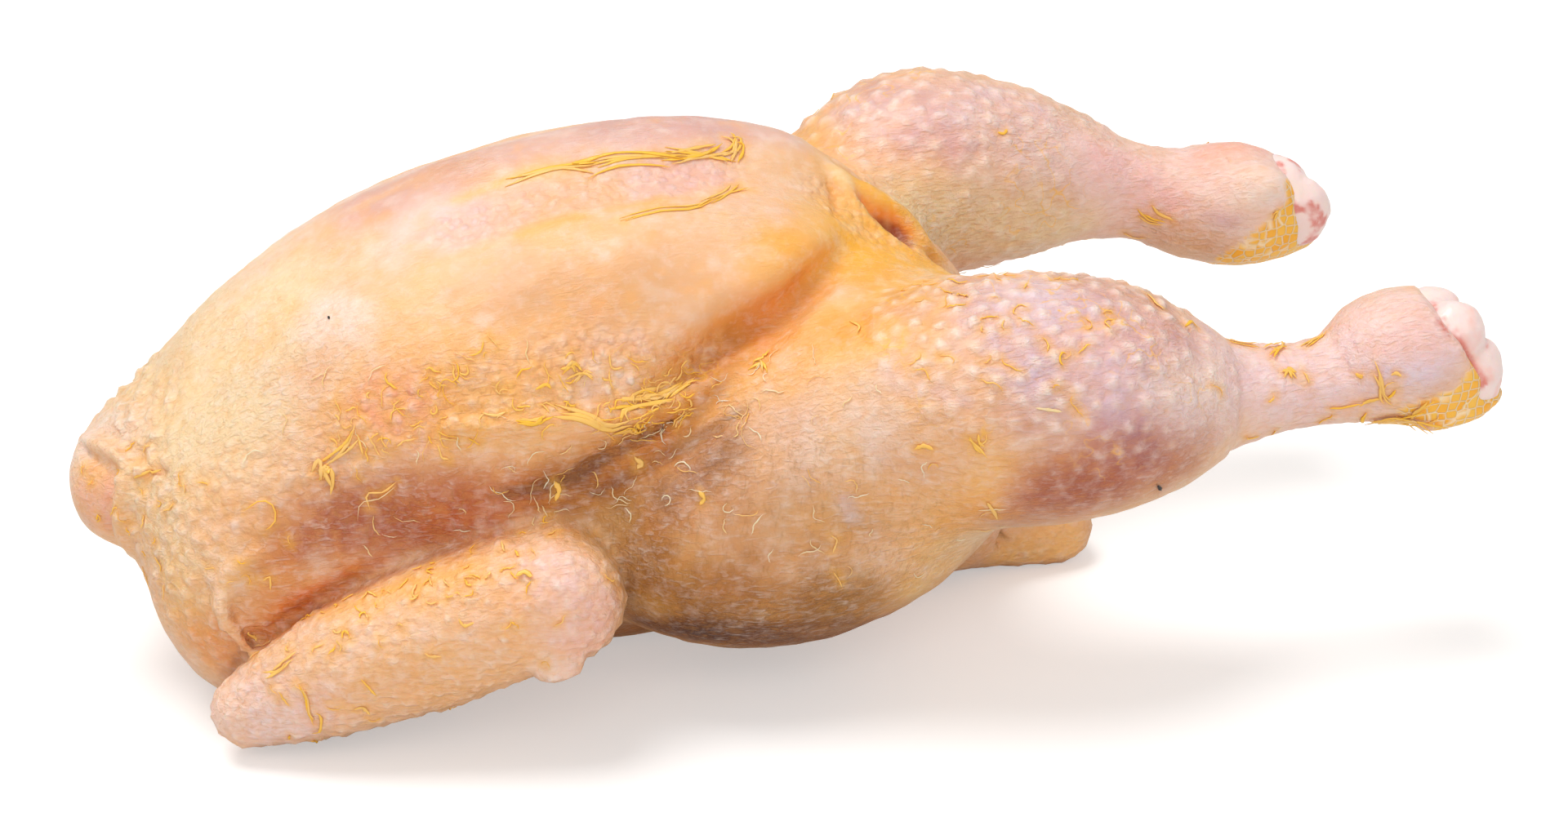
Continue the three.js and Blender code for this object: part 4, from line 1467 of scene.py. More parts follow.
@dataclass(frozen=True)
class RawSkin:
    """Raw chicken skin, wet and slightly see-through: broad soft gloss, warm light from within.

    Each scale is in cells a metre, so 400 stands for features of 2.5 mm.
    """

    roughness: float = 0.42
    ior: float = 1.4
    glow_radius_mm: float = 2.0
    bump_mm: float = 1.1
    mottle_scale: float = 330.0
    pebble_scale: float = 470.0
    wrinkle_scale: float = 900.0
    crossing_scale: float = 680.0
    thread_scale: float = 170.0
    patch_scale: float = 45.0
    plate_scale: float = 400.0
    pore_scale: float = 2000.0

    def material(self) -> bpy.types.Material:
        """Builds the skin's nodes: the tone layer with what is too fine for the mesh over it.

        Returns:
            The material.
        """
        g = Graph("raw_chicken_skin_plucked_and_moist")
        place, tint = g.place(), g.tone()
        threaded, tipped, pebbly = g.layer("thread"), g.layer("tipped"), g.layer("pebbly")
        crossed, wrinkled, scaly = g.layer("crossed"), g.layer("wrinkle"), g.layer("scaly")
        # Mottling of 3 mm, the size of fat lobules seen through the skin.
        mottle = g.noise(place, self.mottle_scale, detail=3.0, roughness=0.6)
        tint = g.over(tint, g.ramp(mottle, 0.5, 0.8, 0.3), Tone.PEARL)
        warm = g.ramp(mottle, 0.5, 0.2, 0.25)
        tint = g.over(tint, g.product(warm, g.math("SUBTRACT", 1.0, threaded)), Tone.HONEY)
        # The pale tip of each follicle, 2 to 3 mm across: pale fat, and a painted highlight where the
        # domes stand high.
        tip = g.product(g.ramp(g.layer("follicle"), 0.5, 0.08, kind="SMOOTHSTEP"), tipped)
        tint = g.over(tint, tip, Tone.MILK)
        # Fat pebbles 2.1 mm across, each with a darker seam round it: painted shade in the groove
        # between them.
        cell = g.node("TexVoronoi", {"feature": "SMOOTH_F1"}, vector=place, scale=self.pebble_scale,
                      smoothness=0.4, randomness=0.9).outputs["Distance"]
        seamed = g.product(g.ramp(cell, 0.25, 0.62), pebbly)
        tint = g.over(tint, g.product(seamed, 0.5), Tone.HONEY)
        # Wrinkles about 1.1 mm apart run along the bird, and fainter ones of 1.5 mm cross them on the
        # trunk and thighs. Both carry painted shade in their valleys, tan in the long ones and olive in
        # the crossing ones, and the long ones a pale painted highlight on their ridges.
        drawn = g.node("Mapping", vector=place, scale=(0.3, 1.0, 1.0)).outputs["Vector"]
        wrinkle = g.noise(drawn, self.wrinkle_scale, detail=4.0, distortion=0.9)
        drawn = g.node("Mapping", vector=place, scale=(1.0, 1.0, 0.35)).outputs["Vector"]
        across = g.noise(drawn, self.crossing_scale, detail=3.0, distortion=1.2)
        tint = g.over(tint, g.product(g.ramp(across, 0.47, 0.3, 0.3), crossed), Tone.OLIVE)
        tint = g.over(tint, g.product(g.ramp(wrinkle, 0.5, 0.28, 0.42), wrinkled), Tone.FAWN)
        tint = g.over(tint, g.product(g.ramp(wrinkle, 0.52, 0.75, 0.4), wrinkled), Tone.PEARL)
        # Threads of yellow outer skin left between the follicles, 6 mm apart and 0.4 mm wide.
        wander = g.noise(place, self.thread_scale, detail=1.5)
        off = g.math("ABSOLUTE", g.math("SUBTRACT", wander, 0.5))
        patch = g.ramp(g.noise(place, self.patch_scale, detail=1.0), 0.52, 0.62, 0.6)
        tint = g.over(tint, g.product(g.ramp(off, 0.022, 0.0), patch, threaded), Tone.YOLK)
        # Leg scales 2.5 mm across: plates of two yellows with tan skin between them.
        cells = {"vector": place, "scale": self.plate_scale, "randomness": 0.5}
        edge = g.node("TexVoronoi", {"feature": "DISTANCE_TO_EDGE"}, **cells).outputs["Distance"]
        cell = g.node("TexVoronoi", **cells).outputs["Color"]
        sort = g.node("SeparateColor", color=cell).outputs[0]
        cover = g.product(scaly, g.ramp(edge, 0.02, 0.12))
        tint = g.over(tint, scaly, Tone.WEB)
        tint = g.over(tint, cover, g.over(Tone.SCALE, sort, Tone.BUTTER))
        # The relief: wrinkles with a pore-fine roughness of 0.5 mm, plates and follicle tips, less
        # the pebbles' seams.
        pore = g.noise(place, self.pore_scale, detail=2.0, roughness=0.6)
        height = g.math("MULTIPLY_ADD", pore, 0.25, wrinkle)
        height = g.math("MULTIPLY_ADD", g.product(across, crossed), 0.7, height)
        height = g.product(height, g.math("SUBTRACT", 1.0, scaly), wrinkled)
        for part, rise in ((cover, 0.3), (tip, 0.6), (seamed, -0.55)):
            height = g.math("MULTIPLY_ADD", part, rise, height)
        bump = g.node("Bump", strength=0.8, distance=self.bump_mm * MM, height=height)
        wet = g.ramp(mottle, 0.3, 0.7, self.roughness + 0.1, self.roughness - 0.08)
        return g.finished(
            base_color=tint, roughness=wet, ior=self.ior, subsurface_weight=0.28,
            subsurface_radius=(1.0, 0.42, 0.22), subsurface_scale=self.glow_radius_mm * MM,
            specular_ior_level=0.4, coat_weight=0.12, coat_roughness=0.22,
            normal=bump.outputs["Normal"],
        )


@dataclass(frozen=True)
class WetTissue:
    """Gristle, hair or torn outer skin, named for itself: its own tone, a little gloss and glow."""

    name: str
    roughness: float
    glow: float
    bump_mm: float
    freckled: float = 0.4
    freckle_scale: float = 650.0

    def material(self) -> bpy.types.Material:
        """Builds the nodes: the tone layer, freckled at 1.5 mm, and a fine uneven relief.

        Returns:
            The material.
        """
        g = Graph(self.name)
        freckle = g.noise(g.place(), self.freckle_scale, detail=2.0)
        tint = g.over(g.tone(), g.ramp(freckle, 0.5, 0.75, self.freckled), Tone.PEARL)
        bump = g.node("Bump", strength=0.6, distance=self.bump_mm * MM, height=freckle)
        return g.finished(
            base_color=tint, roughness=self.roughness, ior=1.4, subsurface_weight=self.glow,
            subsurface_radius=(1.0, 0.5, 0.3), subsurface_scale=1.5 * MM, coat_weight=0.1,
            coat_roughness=0.2, normal=bump.outputs["Normal"],
        )


# ---------------------------------------------------------------- the pieces


class SkinPiece:
    """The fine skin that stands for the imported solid."""

    WRINKLED = (Limb(((64, 8, 94, 9), (78, 26, 84, 9)), 2),
                Limb(((132, 35, 74, 7), (146, 33, 70, 7)), 2))
    STAIN_CHUNK, SEAT_CHUNK = 64, 128  # points handled at once
    CROSSED = Limb(((-92, -52, 58, 12), (-40, -60, 60, 18), (0, -68, 56, 30), (38, -72, 48, 22)), 2)

    def __init__(self, chicken: Chicken, step: float) -> None:
        """Lays the net over the bird and raises its grain.

        Args:
            chicken: the bird's form.
            step: the size of the net's cells in millimetres.
        """
        base, self.quads = SkinNet(step=step).net(chicken.measured)
        self.base = chicken.settled(base)
        self.out = chicken.slope(self.base)
        self.grain = Grain(self.base)
        self.colour = Complexion(chicken, self.grain).painted(self.base, self.out)
        self.vertices = self.base + self.out * self.grain.relief()[:, None]
        self.vertices[:, 2] = np.maximum(self.vertices[:, 2], PRESS)

    def stain(self, near: Array, tone: Tone, reach: float, strength: float) -> None:
        """Tints the skin near some points.

        Args:
            near: the points, in millimetres.
            tone: the tint.
            reach: how far it spreads.
            strength: how strong it is at the points, falling smoothly to nothing at the reach.
        """
        net, near = self.base.astype(np.float32), near.astype(np.float32)
        half, least = 0.5 * (net * net).sum(1), np.full(len(net), 1e9, np.float32)
        for i in range(0, len(near), self.STAIN_CHUNK):
            some = near[i : i + self.STAIN_CHUNK]
            least = np.minimum(least, (0.5 * (some * some).sum(1) - net @ some.T).min(1))
        gap = np.sqrt(np.maximum(2 * (least + half), 0))
        ragged = 1 + 0.5 * Pattern.STAIN_EDGE.at(self.base)
        weight = strength * smooth_step(reach, 0.2 * reach, gap * ragged)
        self.colour += weight[:, None] * (tone.rgb - self.colour)

    def build(self) -> bpy.types.Object:
        """Makes the mesh and dresses it.

        Returns:
            The piece, with its colours and the layers that its material reads.
        """
        p, grain = self.base, self.grain
        piece = add_mesh("chicken_skin", self.vertices, self.quads)
        scaly = np.min([part.distance(p) for hock in HOCKS for part in hock.scaly], 0)
        scaly += 1.3 * Pattern.SCALE_EDGE.at(p)
        calm_breast = 0.55 * smooth_step(80, 108, p[:, 2]) * (p[:, 0] < 50)
        rough = 0.75 + 0.5 * Pattern.ROUGH.at(p)
        for drawn in self.WRINKLED:
            rough = rough + 0.6 * smooth_step(6, -6, drawn.distance(p))
        # Pale fat on the follicle tips where the skin is pale, and a painted highlight where the domes
        # are high.
        tips = (0.62 * grain.pale + 0.32 * grain.height) * grain.strength
        legs_but_hocks = smooth_step(0.12, 0.4, grain.pale) * (p[:, 0] < 160)
        for name, values in (
            ("tone", self.colour),
            ("scaly", smooth_step(0.6, -0.6, scaly)),
            ("wrinkle", np.clip(rough - calm_breast, 0.1, 1.6)),
            ("pebbly", grain.pebbly),
            ("follicle", grain.share),
            ("tipped", np.minimum(tips, 1)),
            ("crossed", smooth_step(2, -12, self.CROSSED.distance(right_side(p)))),
            ("thread", legs_but_hocks),
        ):
            add_layer(piece, name, values)
        piece.data.materials.append(RawSkin().material())
        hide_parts(NODE)
        return piece

    def seated(self, p: Array, lift: Array | float) -> tuple[Array, Array]:
        """Brings points down or up to the finished skin.

        Args:
            p: points near the skin, in millimetres.
            lift: how high above the skin each one ends.

        Returns:
            The points on the plane of the nearest net vertex, lifted, and that vertex's normals.
        """
        rows = np.empty(len(p), int)
        net = self.vertices.astype(np.float32)
        half = 0.5 * (net * net).sum(1)
        for i in range(0, len(p), self.SEAT_CHUNK):
            some = p[i : i + self.SEAT_CHUNK].astype(np.float32)
            rows[i : i + self.SEAT_CHUNK] = np.argmin(half - some @ net.T, axis=1)
        out = self.out[rows]
        rise = ((self.vertices[rows] - p) * out).sum(1) + lift
        return p + out * rise[:, None], out


@dataclass
class GristlePiece:
    """The bare knobs of one cut hock."""

    hock: Hock
    step: float = 0.65
    crevice: float = 2.5  # how far out from the surface to look for another, in millimetres

    def build(self) -> bpy.types.Object:
        """Lays a fine net over the knobs, pale on top and red in the crevices.

        Returns:
            The piece.
        """
        low, high = np.array(self.hock.cut_at) + np.array(self.hock.box)
        field = self.hock.gristle
        vertices, quads = SkinNet(tuple(low), tuple(high), self.step).net(field)
        steps = np.eye(3) * 0.2
        out = np.stack([field(vertices + s) - field(vertices - s) for s in steps], 1)
        out /= np.linalg.norm(out, axis=1)[:, None]
        shut = np.clip(1 - field(vertices + out * self.crevice) / self.crevice, 0, 1)
        blot, spots = Pattern.BLOTS.at(vertices), Pattern.FAT_SPOTS.at(vertices)
        rim = smooth_step(1.7, 0.2, self.hock.beyond(vertices))
        colour = np.tile(Tone.GRISTLE.rgb, (len(vertices), 1))
        for tone, weight in (
            (Tone.SALMON, 0.4 * smooth_step(0.0, 0.6, blot)),
            (Tone.PEARL, 0.5 * smooth_step(-0.1, -0.5, blot)),
            (Tone.RED, 0.85 * smooth_step(0.2, 0.38, shut + 0.16 * blot)),
            (Tone.RED, 0.75 * rim * smooth_step(0.1, 0.35, blot)),
            (Tone.FAT, 0.7 * smooth_step(0.3, 0.45, spots * shut)),
        ):
            colour += weight[:, None] * (tone.rgb - colour)
        piece = add_mesh(f"hock_gristle_{self.hock.name}", vertices, quads)
        add_layer(piece, "tone", colour)
        finish = WetTissue("wet_joint_gristle", roughness=0.3, glow=0.4, bump_mm=0.25)
        piece.data.materials.append(finish.material())
        return piece


@dataclass(frozen=True)
class Strand:
    """A shred or hair laid along points in millimetres, some of its width lifted off the skin."""

    points: tuple[tuple[float, float, float], ...]
    width: float
    bundle: int = 1
    lift: float = 0.25


SHREDS = (
    Strand(((-89, -47, 69.5), (-86, -47, 72), (-83.5, -47.5, 74.5), (-81.5, -47, 77)), 1.6, 2),
    Strand(((-81.5, -47.5, 77), (-81, -48.5, 74.5), (-80.5, -49, 72.5)), 0.8),
    Strand(((-90.5, -46.5, 68.5), (-89, -46.5, 70), (-88.5, -48, 67)), 3.2, 3, 0.8),
    Strand(((-74, -52.5, 67), (-77, -52, 64.5), (-80.5, -51, 64), (-80, -51.5, 60.5)), 0.6),
    Strand(((-106.5, -43.5, 59.5), (-103, -44.5, 62), (-100.5, -46, 61), (-100.5, -47, 57.5), (-103,
           -46.5, 55.5)), 0.5),
    Strand(((-104, -48.5, 44.5), (-102.5, -49, 45.5), (-102, -47.5, 42.5)), 0.6),
    Strand(((-24, -57, 79.5), (-23, -56.5, 82.5), (-18.5, -55.5, 83), (-14.5, -54, 82.5)), 3.4, 3),
    Strand(((-18.5, -55.5, 83), (-17, -55, 80), (-13, -53.5, 80.5), (-10.5, -52.5, 82)), 2.8, 3),
    Strand(((-27, -56.5, 77.5), (-22.5, -56.5, 78.5), (-20.5, -56, 76.5), (-18.5, -55.5, 78)), 2.4, 3),
    Strand(((-38, -58, 81), (-33, -58.5, 80), (-28, -59, 78), (-23, -58.5, 78.5)), 2.6, 2),
    Strand(((-48, -57, 81), (-44, -57.5, 80.5), (-40, -58, 81.5)), 1.8, 2),
    Strand(((-15, -56, 81.5), (-12, -54.8, 82.5), (-8, -53.5, 83.5)), 1.8, 2),
    Strand(((-35, -55.5, 87.5), (-32.5, -55, 89), (-31, -55.5, 88)), 1.4, 2),
    Strand(((-43, -54.5, 86.5), (-40.5, -54.5, 87.5), (-39.5, -55, 86.5)), 1.0),
    Strand(((-55, -54, 82), (-52, -55, 81), (-49.5, -55, 82)), 1.0),
    Strand(((-36.5, -54, 90), (-34.5, -53.5, 91.5), (-33.5, -54.5, 90)), 1.4, 2),
    Strand(((-40, -58, 65.5), (-39, -58, 63.5), (-40, -57.5, 61.5)), 1.6),
    Strand(((-22, -57.5, 69.5), (-20.5, -58.5, 68), (-21.5, -58.5, 67)), 1.6),
    Strand(((7, -52.5, 83), (9, -52, 84), (10.5, -54.5, 85)), 1.6, 2),
    Strand(((-9.5, -67, 64), (-8.5, -68, 62.5), (-9.5, -68, 61)), 1.3),
    Strand(((19, -73, 52.5), (20.5, -72.5, 51), (19.5, -72, 48)), 0.7),
    Strand(((20, -71.5, 42.5), (21.5, -70.5, 40), (22.5, -69.5, 37.5)), 0.5),
    Strand(((47.5, -83, 78), (49, -83.5, 75.5), (51, -84, 74)), 1.6, 2),
    Strand(((52.5, -81, 60.5), (54.5, -79.5, 57.5), (56, -77.5, 54.5)), 1.4),
    Strand(((36, -79.5, 74.5), (38, -80, 75.5), (40, -81, 75)), 1.3),
    Strand(((116, -56, 81), (119, -56, 80.5), (123, -56.5, 80)), 1.2, 2),
    Strand(((130.5, -55.5, 80), (129, -57, 79.5), (125.5, -60, 79.5)), 2.0, 3, 0.6),
    Strand(((135, -56.5, 79), (138, -55.5, 79), (141.5, -54, 79)), 1.8, 3),
    Strand(((127, -65, 76), (129, -64, 76.5), (130, -65, 75.5)), 1.6, 2),
    Strand(((148, -68.5, 77), (148.5, -69.5, 74), (149.5, -70, 70), (151.5, -70, 68.5)), 1.4, 2, 0.5),
    Strand(((149.5, -70, 70), (147.5, -68.5, 69.5), (145, -67, 68)), 1.0),
    Strand(((150, -70, 69.5), (151.5, -70.5, 71), (152, -71, 72.5)), 0.8),
    Strand(((138, -66.5, 67.5), (141.5, -66.5, 67.5), (145.5, -67.5, 68.5)), 0.9),
    Strand(((149, -66, 63), (152, -68, 63), (156.5, -68.5, 63), (159.5, -68, 62)), 4.2, 5, 0.8),
    Strand(((158, -68.5, 62.5), (158, -70, 66), (160.5, -71.5, 68.5)), 1.8, 2, 0.6),
    Strand(((147, -67, 65.5), (147, -65, 63), (148, -63, 61)), 1.0),
    Strand(((144, -66.5, 75.5), (145, -67, 75), (145.5, -67.5, 75.5)), 1.2),
    Strand(((151, -70, 76), (152, -70.5, 76.5), (153, -71, 76)), 1.0),
    Strand(((-98, -65, 26.5), (-97.5, -66, 23), (-97.5, -66.5, 19.5), (-96.5, -66, 16.5)), 1.2, 2),
    Strand(((-96, -66.5, 20), (-95, -66.5, 18), (-95.5, -65, 13.5), (-97, -64.5, 12.5)), 0.9),
    Strand(((-105, -59.5, 27), (-102.5, -60.5, 28.5), (-99.5, -61.5, 30)), 1.5, 2),
    Strand(((-88, -68.5, 20.5), (-86, -69, 21), (-84.5, -69, 19.5)), 1.2),
    Strand(((-86, -69.5, 28.5), (-84.5, -70, 26.5), (-83, -70.5, 24.5)), 0.8),
    Strand(((-72.5, -73.5, 35), (-71, -74, 34), (-69, -74.5, 34.5)), 1.0),
    Strand(((-65, -74.5, 43), (-64, -75.5, 41.5), (-62, -76.5, 42.5)), 1.0),
    Strand(((-52.5, -75, 53.5), (-50.5, -75, 54.5), (-49, -76.5, 53.5)), 1.4),
    Strand(((-108.5, -45.5, 31.5), (-107, -45.5, 30), (-106, -46.5, 29)), 0.9),
    Strand(((-41, -11, 119), (-35, -11, 120), (-27.5, -11, 121), (-20, -12.5, 121)), 1.9, 2, 0.12),
    Strand(((-22, -13, 121), (-16.5, -12, 122), (-9, -12, 122), (-1.5, -12.5, 121.5)), 2.6, 3, 0.12),
    Strand(((-3.5, -12.5, 121.5), (2.5, -12, 121.5), (8, -11, 121), (11.5, -10.5, 120.5)), 3.6, 4,
           0.15),
    Strand(((10, -11.5, 120), (12.5, -9.5, 121), (13.5, -7, 122.5), (12, -6.5, 123)), 2.2, 3, 0.35),
    Strand(((-18, -10, 122.5), (-21.5, -10.5, 122), (-25.5, -11, 121.5)), 1.6, 1, 0.1),
    Strand(((-18.5, -30.5, 115), (-10.5, -29, 115.5), (-1, -28, 115.5), (5.5, -24, 116)), 1.2, 2, 0.1),
    Strand(((3, -26, 115.5), (7.5, -22.5, 116), (11, -19.5, 116)), 1.4, 2, 0.1),
    Strand(((28, -54, 95), (29.5, -57, 95), (28.5, -59, 94)), 0.7),
    Strand(((51.5, -50, 101), (53, -52.5, 101.5), (55.5, -53, 101.5)), 0.7),
    Strand(((87.5, 30, 104), (89, 30, 103.5), (90, 31, 104)), 1.2),
    Strand(((126, 33, 78), (129, 33, 76), (132, 32.5, 75.5)), 1.2, 2),
    Strand(((129, 33, 80), (131, 32.5, 77.5), (134.5, 32, 76)), 1.0),
    Strand(((123, 36, 72), (126.5, 37.5, 69.5), (129, 36, 70.5)), 1.0),
    Strand(((159, 28.5, 76.5), (160.5, 29, 77.5), (159.5, 28.5, 74.5)), 1.0),
    Strand(((96.5, -56, 95.5), (97, -61, 95), (98.5, -63, 94.5)), 1.0),
    Strand(((102.5, -65.5, 91), (105, -63, 90.5), (106.5, -63, 89.5)), 1.0),
    Strand(((-128.5, -20.5, 59.5), (-125.5, -23, 61.5), (-123, -25.5, 63)), 0.8),
)
HAIRS = (
    Strand(((86, 42, 63), (88, 41, 61), (91, 40, 59), (95, 40, 58)), 0.25, 1, 0.6),
    Strand(((80, 39, 66), (82, 38, 63), (84, 38, 61)), 0.25, 1, 0.6),
    Strand(((70, -30, 101), (68, -33, 102), (66, -37, 103)), 0.22, 1, 0.6),
    Strand(((112, 35, 71), (114, 34.5, 69), (117, 34, 69)), 0.2, 1, 0.5),
    Strand(((-74, -52, 66), (-78, -52, 63), (-82, -51.5, 62), (-83, -52, 58)), 0.3, 1, 0.4),
    Strand(((-107, -48, 27), (-104, -50, 27), (-101, -53, 27.5)), 0.3, 1, 0.4),
    Strand(((62.1, -83.9, 83.5), (64.9, -84.4, 83), (67.8, -84.7, 82.4)), 0.9, 1, 0.2),
)
QUILLS = (
    Strand(((92.1, -80.1, 60.1), (93, -79.2, 58.9), (93.7, -78.2, 57.8)), 1.0, 1, 0.5),
    Strand(((-84, -27.2, 96.8), (-83.9, -27.7, 96.6), (-83.8, -28.2, 96.4)), 0.6, 1, 0.1),
)


@dataclass(frozen=True)
class Patch:
    """Short strands scattered over a part of the skin and its mirror image.

    The length lies between two bounds, width and lift are in millimetres, and curl is how much a
    strand turns, in radians a step.
    """

    stations: tuple[Station, ...]
    count: int
    length: tuple[float, float]
    width: float
    lift: float = 0.2
    curl: float = 0.5


SHRED_PATCHES = (
    Patch(((-80, -46, 76, 9), (-50, -52, 86, 9), (-16, -54, 82, 9)), 170, (2, 7), 0.34),
    Patch(((-26, -56, 80, 6), (-12, -54, 82, 6)), 70, (2, 7), 0.36, 0.4),
    Patch(((60, -60, 84, 26), (100, -60, 72, 18)), 110, (2, 7), 0.32),
    Patch(((-108, -54, 14, 16), (-44, -66, 40, 20)), 90, (2, 5), 0.32),
    Patch(((-94, -60, 36, 6), (-50, -68, 56, 6)), 80, (1.5, 4), 0.4, 0.3),
    Patch(((110, -57, 70, 13), (160, -57, 72, 17)), 40, (2, 6), 0.4),
    Patch(((-128, -20, 52, 18), (-108, -40, 50, 16)), 60, (2, 5), 0.32),
)
HAIR_PATCHES = (
    Patch(((-90, -48, 70, 20), (-20, -56, 74, 22), (40, -70, 60, 26)), 130, (3, 8), 0.24, 0.25,
          0.35),
    Patch(((-46, -58, 64, 7), (-20, -60, 68, 9), (6, -58, 82, 7)), 120, (3, 9), 0.24, 0.2, 0.5),
)


class StrandPiece:
    """Many strands swept into one mesh: an ellipse carried along each path, drawn in at both ends."""

    STATIONS, SIDES = 9, 6
    FLATNESS = 0.22  # thickness as a share of width
    THINNEST = 0.22  # in millimetres
    FULLNESS, TIP_SHARE, TAPER_POWER = 1.6, 0.06, 0.7
    UNEVEN = (0.65, 1.25)  # the bounds between which a strand's width strays along it
    CURL_UP = 0.7  # the most that a far end rises, as a share of the width

    def __init__(self, skin: SkinPiece, strands: Iterable[Strand], patches: Iterable[Patch],
                 seed: int) -> None:
        """Lays every strand on the skin.

        Args:
            skin: the skin the strands lie on.
            strands: those laid one by one.
            patches: those scattered.
            seed: picks their unevenness and the scattered places.
        """
        self.skin, self.rng = skin, np.random.default_rng(seed)
        self.paths, self.widths, self.lifts = [], [], []
        for strand in strands:
            self.lay(strand)
        for patch in patches:
            self.scatter(patch)

    def lay(self, strand: Strand) -> None:
        """Adds a strand, or a bundle of thinner ones side by side.

        Args:
            strand: the strand; a bundle of n is laid as 2 n less 1 strays, each off the path by
                a curve of the second degree.
        """
        knots = smooth_path(np.array(strand.points), 8)
        length = np.r_[0, np.cumsum(np.linalg.norm(np.diff(knots, axis=0), axis=1))]
        at = np.linspace(0, length[-1], self.STATIONS)
        path = np.stack([np.interp(at, length, knots[:, i]) for i in range(3)], 1)
        bundle = 1 + 2 * (strand.bundle - 1)
        for _ in range(bundle):
            stray = 0.35 * strand.width * self.rng.normal(size=(3, 3)) * (bundle > 1)
            bend = np.linspace(-1, 1, self.STATIONS)[:, None]
            self.paths.append(path + stray[0] + stray[1] * bend + stray[2] * bend**2)
            self.widths.append(0.8 * strand.width / strand.bundle**0.8)
            self.lifts.append(strand.lift)

    def scatter(self, patch: Patch) -> None:
        """Grows short strands in random directions, each turning a little at every step.

        Args:
            patch: where, how many and of what size.
        """
        count, form = patch.count, Limb(patch.stations)
        inside = np.flatnonzero(form.distance(right_side(self.skin.base)) < 0)
        start = self.rng.choice(inside, count)
        p, out = self.skin.base[start], self.skin.out[start]
        heading = np.cross(out, self.rng.normal(size=(count, 3)))
        heading /= np.linalg.norm(heading, axis=1)[:, None]
        step = self.rng.uniform(*patch.length, (count, 1)) / self.STATIONS
        turn = self.rng.normal(0, 0.4 * patch.curl, (count, 1))
        path = [p]
        for _ in range(self.STATIONS - 1):
            jitter = self.rng.normal(0, 0.45, (count, 1))
            heading = heading + np.cross(out, heading) * (turn + jitter)
            heading /= np.linalg.norm(heading, axis=1)[:, None]
            path.append(path[-1] + heading * step)
        self.paths += list(np.stack(path, 1))
        self.widths += list(patch.width * self.rng.uniform(0.6, 1.5, count))
        self.lifts += [patch.lift] * count

    def build(self, name: str, tones: tuple[Tone, Tone], finish: WetTissue) -> bpy.types.Object:
        """Sweeps every strand and joins them.

        Args:
            name: the piece's name.
            tones: the two tones between which a strand's colour falls.
            finish: its material.

        Returns:
            The piece. A ring of points is the path point plus half the width times cosine along
            the side direction and half the thickness times sine along the skin's normal.
        """
        paths = np.array(self.paths)
        n, k, m = len(paths), self.STATIONS, self.SIDES
        along = np.linspace(0, 1, k)
        taper = np.clip(np.sin(np.pi * along) * self.FULLNESS, self.TIP_SHARE, 1) ** self.TAPER_POWER
        width = np.array(self.widths)[:, None] * taper * self.rng.uniform(*self.UNEVEN, (n, k))
        thick = np.maximum(self.FLATNESS * width, np.minimum(width, self.THINNEST))
        curl_up = self.rng.uniform(0, self.CURL_UP, (n, 1)) * np.array(self.widths)[:, None]
        curl_up = curl_up * along**4
        lift = np.array(self.lifts)[:, None] + curl_up
        flat, out = self.skin.seated(paths.reshape(-1, 3), lift.ravel())
        paths, out = flat.reshape(n, k, 3), out.reshape(n, k, 3)
        tangent = np.gradient(paths, axis=1)
        tangent /= np.maximum(np.linalg.norm(tangent, axis=2), 1e-6)[..., None]
        side = np.cross(tangent, out)
        side /= np.maximum(np.linalg.norm(side, axis=2), 1e-6)[..., None]
        up = np.cross(side, tangent)
        turn = np.arange(m) * 2 * np.pi / m
        rings = (
            paths[:, :, None]
            + 0.5 * width[:, :, None, None] * np.cos(turn)[:, None] * side[:, :, None]
            + 0.5 * thick[:, :, None, None] * np.sin(turn)[:, None] * up[:, :, None]
        )
        ends = paths[:, [0, -1]]
        vertices = np.concatenate([rings.reshape(n, -1, 3), ends], 1)
        vertices[..., 2] = np.maximum(vertices[..., 2], PRESS + 0.02)
        i, j = np.meshgrid(np.arange(k - 1), np.arange(m), indexing="ij")
        a, b = i * m + j, i * m + (j + 1) % m
        last, ring = (k - 1) * m, np.arange(m)
        one = np.concatenate([
            np.stack([a, b, b + m], -1).reshape(-1, 3),
            np.stack([a, b + m, a + m], -1).reshape(-1, 3),
            np.stack([np.full(m, k * m), (ring + 1) % m, ring], 1),
            np.stack([np.full(m, k * m + 1), last + ring, last + (ring + 1) % m], 1),
        ])
        faces = (one[None] + np.arange(n)[:, None, None] * (k * m + 2)).reshape(-1, 3)
        share = self.rng.uniform(0, 1, (n, 1, 1))
        colour = tones[0].rgb * (1 - share) + tones[1].rgb * share
        colour = np.broadcast_to(colour, vertices.shape).reshape(-1, 3)
        piece = add_mesh(name, vertices.reshape(-1, 3), faces[:, ::-1])
        add_layer(piece, "tone", colour)
        piece.data.materials.append(finish.material())
        return piece


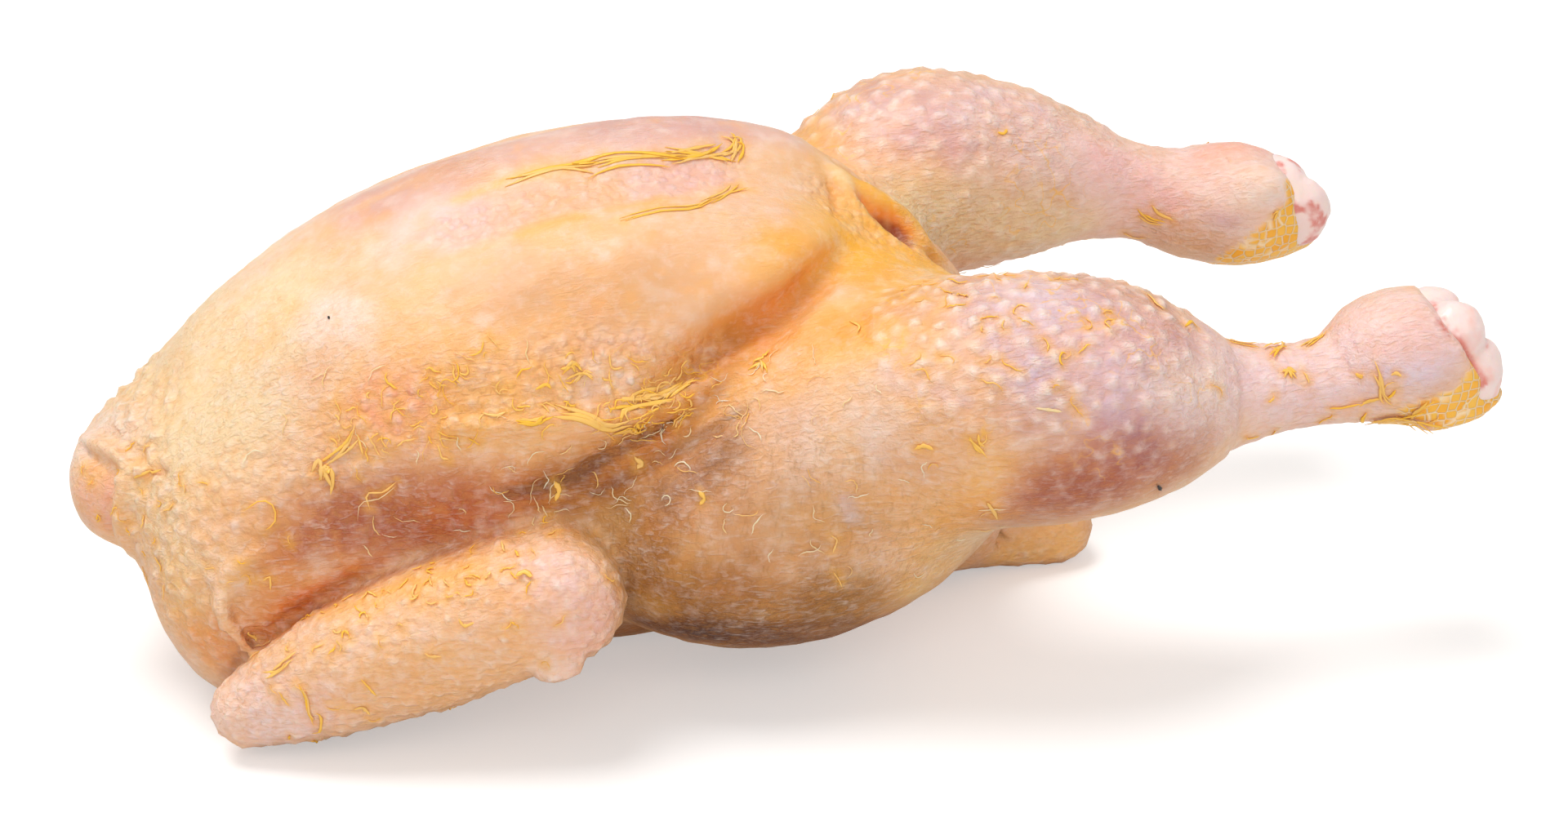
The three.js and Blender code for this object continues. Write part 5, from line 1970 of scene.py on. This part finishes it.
@dataclass
class Studio:
    """A pale board, a soft bright tent of light, and the camera."""

    azimuth: float = -14.0
    elevation: float = 25.0
    distance_mm: float = 900.0
    lens_mm: float = 88.0
    target: tuple[float, float, float] = (22.5, -16.2, 49.5)
    shift_y: float = 28.5 / 1920
    surround: float = 0.47
    board_half_m: float = 3.0
    board_glow: float = 0.4
    sensor_mm: float = 36.0
    suns: tuple[tuple[str, float, float, tuple[float, float, float]], ...] = (
        ("key", 2.05, 34.0, (-8.0, -14.0, 0.0)),
        ("fill", 0.88, 55.0, (62.0, 0.0, -6.0)),
    )

    def build(self) -> None:
        """Adds the board, the lights and the camera."""
        self.board()
        self.lights()
        self.camera()

    def board(self) -> None:
        """A large pale floor under the bird."""
        half = self.board_half_m
        mesh = bpy.data.meshes.new("board")
        corners = [(-half, -half, 0), (half, -half, 0), (half, half, 0), (-half, half, 0)]
        mesh.from_pydata(corners, [], [(0, 1, 2, 3)])
        floor = bpy.data.objects.new("board", mesh)
        bpy.context.scene.collection.objects.link(floor)
        g = Graph("pale_matt_sweep_table")
        # The table gives its full white to the eye, and less of it back to the bird.
        bright = g.product(g.node("LightPath").outputs["Is Camera Ray"], self.board_glow)
        mesh.materials.append(g.finished(
            base_color=(*linear("#dedcda"), 1), roughness=0.8, specular_ior_level=0.2,
            emission_color=(1, 1, 1, 1), emission_strength=bright,
        ))

    def lights(self) -> None:
        """A bright pale surround, a broad soft key from above and a weak fill from in front."""
        world = bpy.data.worlds.new("studio")
        bpy.context.scene.world = world
        world.use_nodes = True
        world.node_tree.nodes["Background"].inputs["Color"].default_value = (1, 1, 1, 1)
        world.node_tree.nodes["Background"].inputs["Strength"].default_value = self.surround
        for name, strength, breadth, turn in self.suns:
            sun = bpy.data.lights.new(name, "SUN")
            sun.energy, sun.angle = strength, math.radians(breadth)
            holder = bpy.data.objects.new(name, sun)
            bpy.context.scene.collection.objects.link(holder)
            holder.rotation_euler = tuple(math.radians(a) for a in turn)

    def camera(self) -> None:
        """The camera, aimed at the target from its azimuth and elevation."""
        a, e = math.radians(self.azimuth), math.radians(self.elevation)
        back = np.array([math.sin(a) * math.cos(e), -math.cos(a) * math.cos(e), math.sin(e)])
        target = (np.array(self.target) + TO_PART) * MM
        lens = bpy.data.cameras.new("camera")
        lens.lens, lens.sensor_width, lens.shift_y = self.lens_mm, self.sensor_mm, self.shift_y
        lens.clip_start = 0.01
        camera = bpy.data.objects.new("camera", lens)
        bpy.context.scene.collection.objects.link(camera)
        camera.location = target + back * self.distance_mm * MM
        camera.rotation_euler = (math.pi / 2 - e, 0, a)
        bpy.context.scene.camera = camera
        bpy.context.scene.view_settings.view_transform = "Standard"


def main() -> None:
    """Builds the bird piece by piece and reports each one."""
    logging.basicConfig(level=logging.INFO, format="%(name)s: %(message)s")
    Studio().build()
    skin = SkinPiece(Chicken(), SKIN_STEP)
    LOG.info("%d follicles", len(skin.grain.centres))
    pieces = [GristlePiece(hock).build() for hock in HOCKS]
    shreds = StrandPiece(skin, SHREDS, SHRED_PATCHES, seed=21)
    skin.stain(np.concatenate(shreds.paths), Tone.FAT, reach=1.8, strength=0.5)
    pieces.append(skin.build())
    torn = WetTissue("torn_yellow_outer_skin", roughness=0.35, glow=0.1, bump_mm=0.1, freckled=0.0)
    pieces.append(shreds.build("outer_skin_shreds", (Tone.YOLK, Tone.GOLD), torn))
    dark = WetTissue("dark_feather_quill", roughness=0.3, glow=0.0, bump_mm=0.02, freckled=0.0)
    quills = StrandPiece(skin, QUILLS, (), seed=23)
    pieces.append(quills.build("quill_stubs", (Tone.QUILL, Tone.QUILL), dark))
    filament = WetTissue("pale_filoplume_hair", roughness=0.45, glow=0.2, bump_mm=0.02)
    hairs = StrandPiece(skin, HAIRS, HAIR_PATCHES, seed=22)
    pieces.append(hairs.build("stray_hairs", (Tone.HAIR, Tone.FAT), filament))
    for piece in pieces:
        LOG.info("%s: %d faces", piece.name, len(piece.data.polygons))


if __name__ == "__main__":
    main()
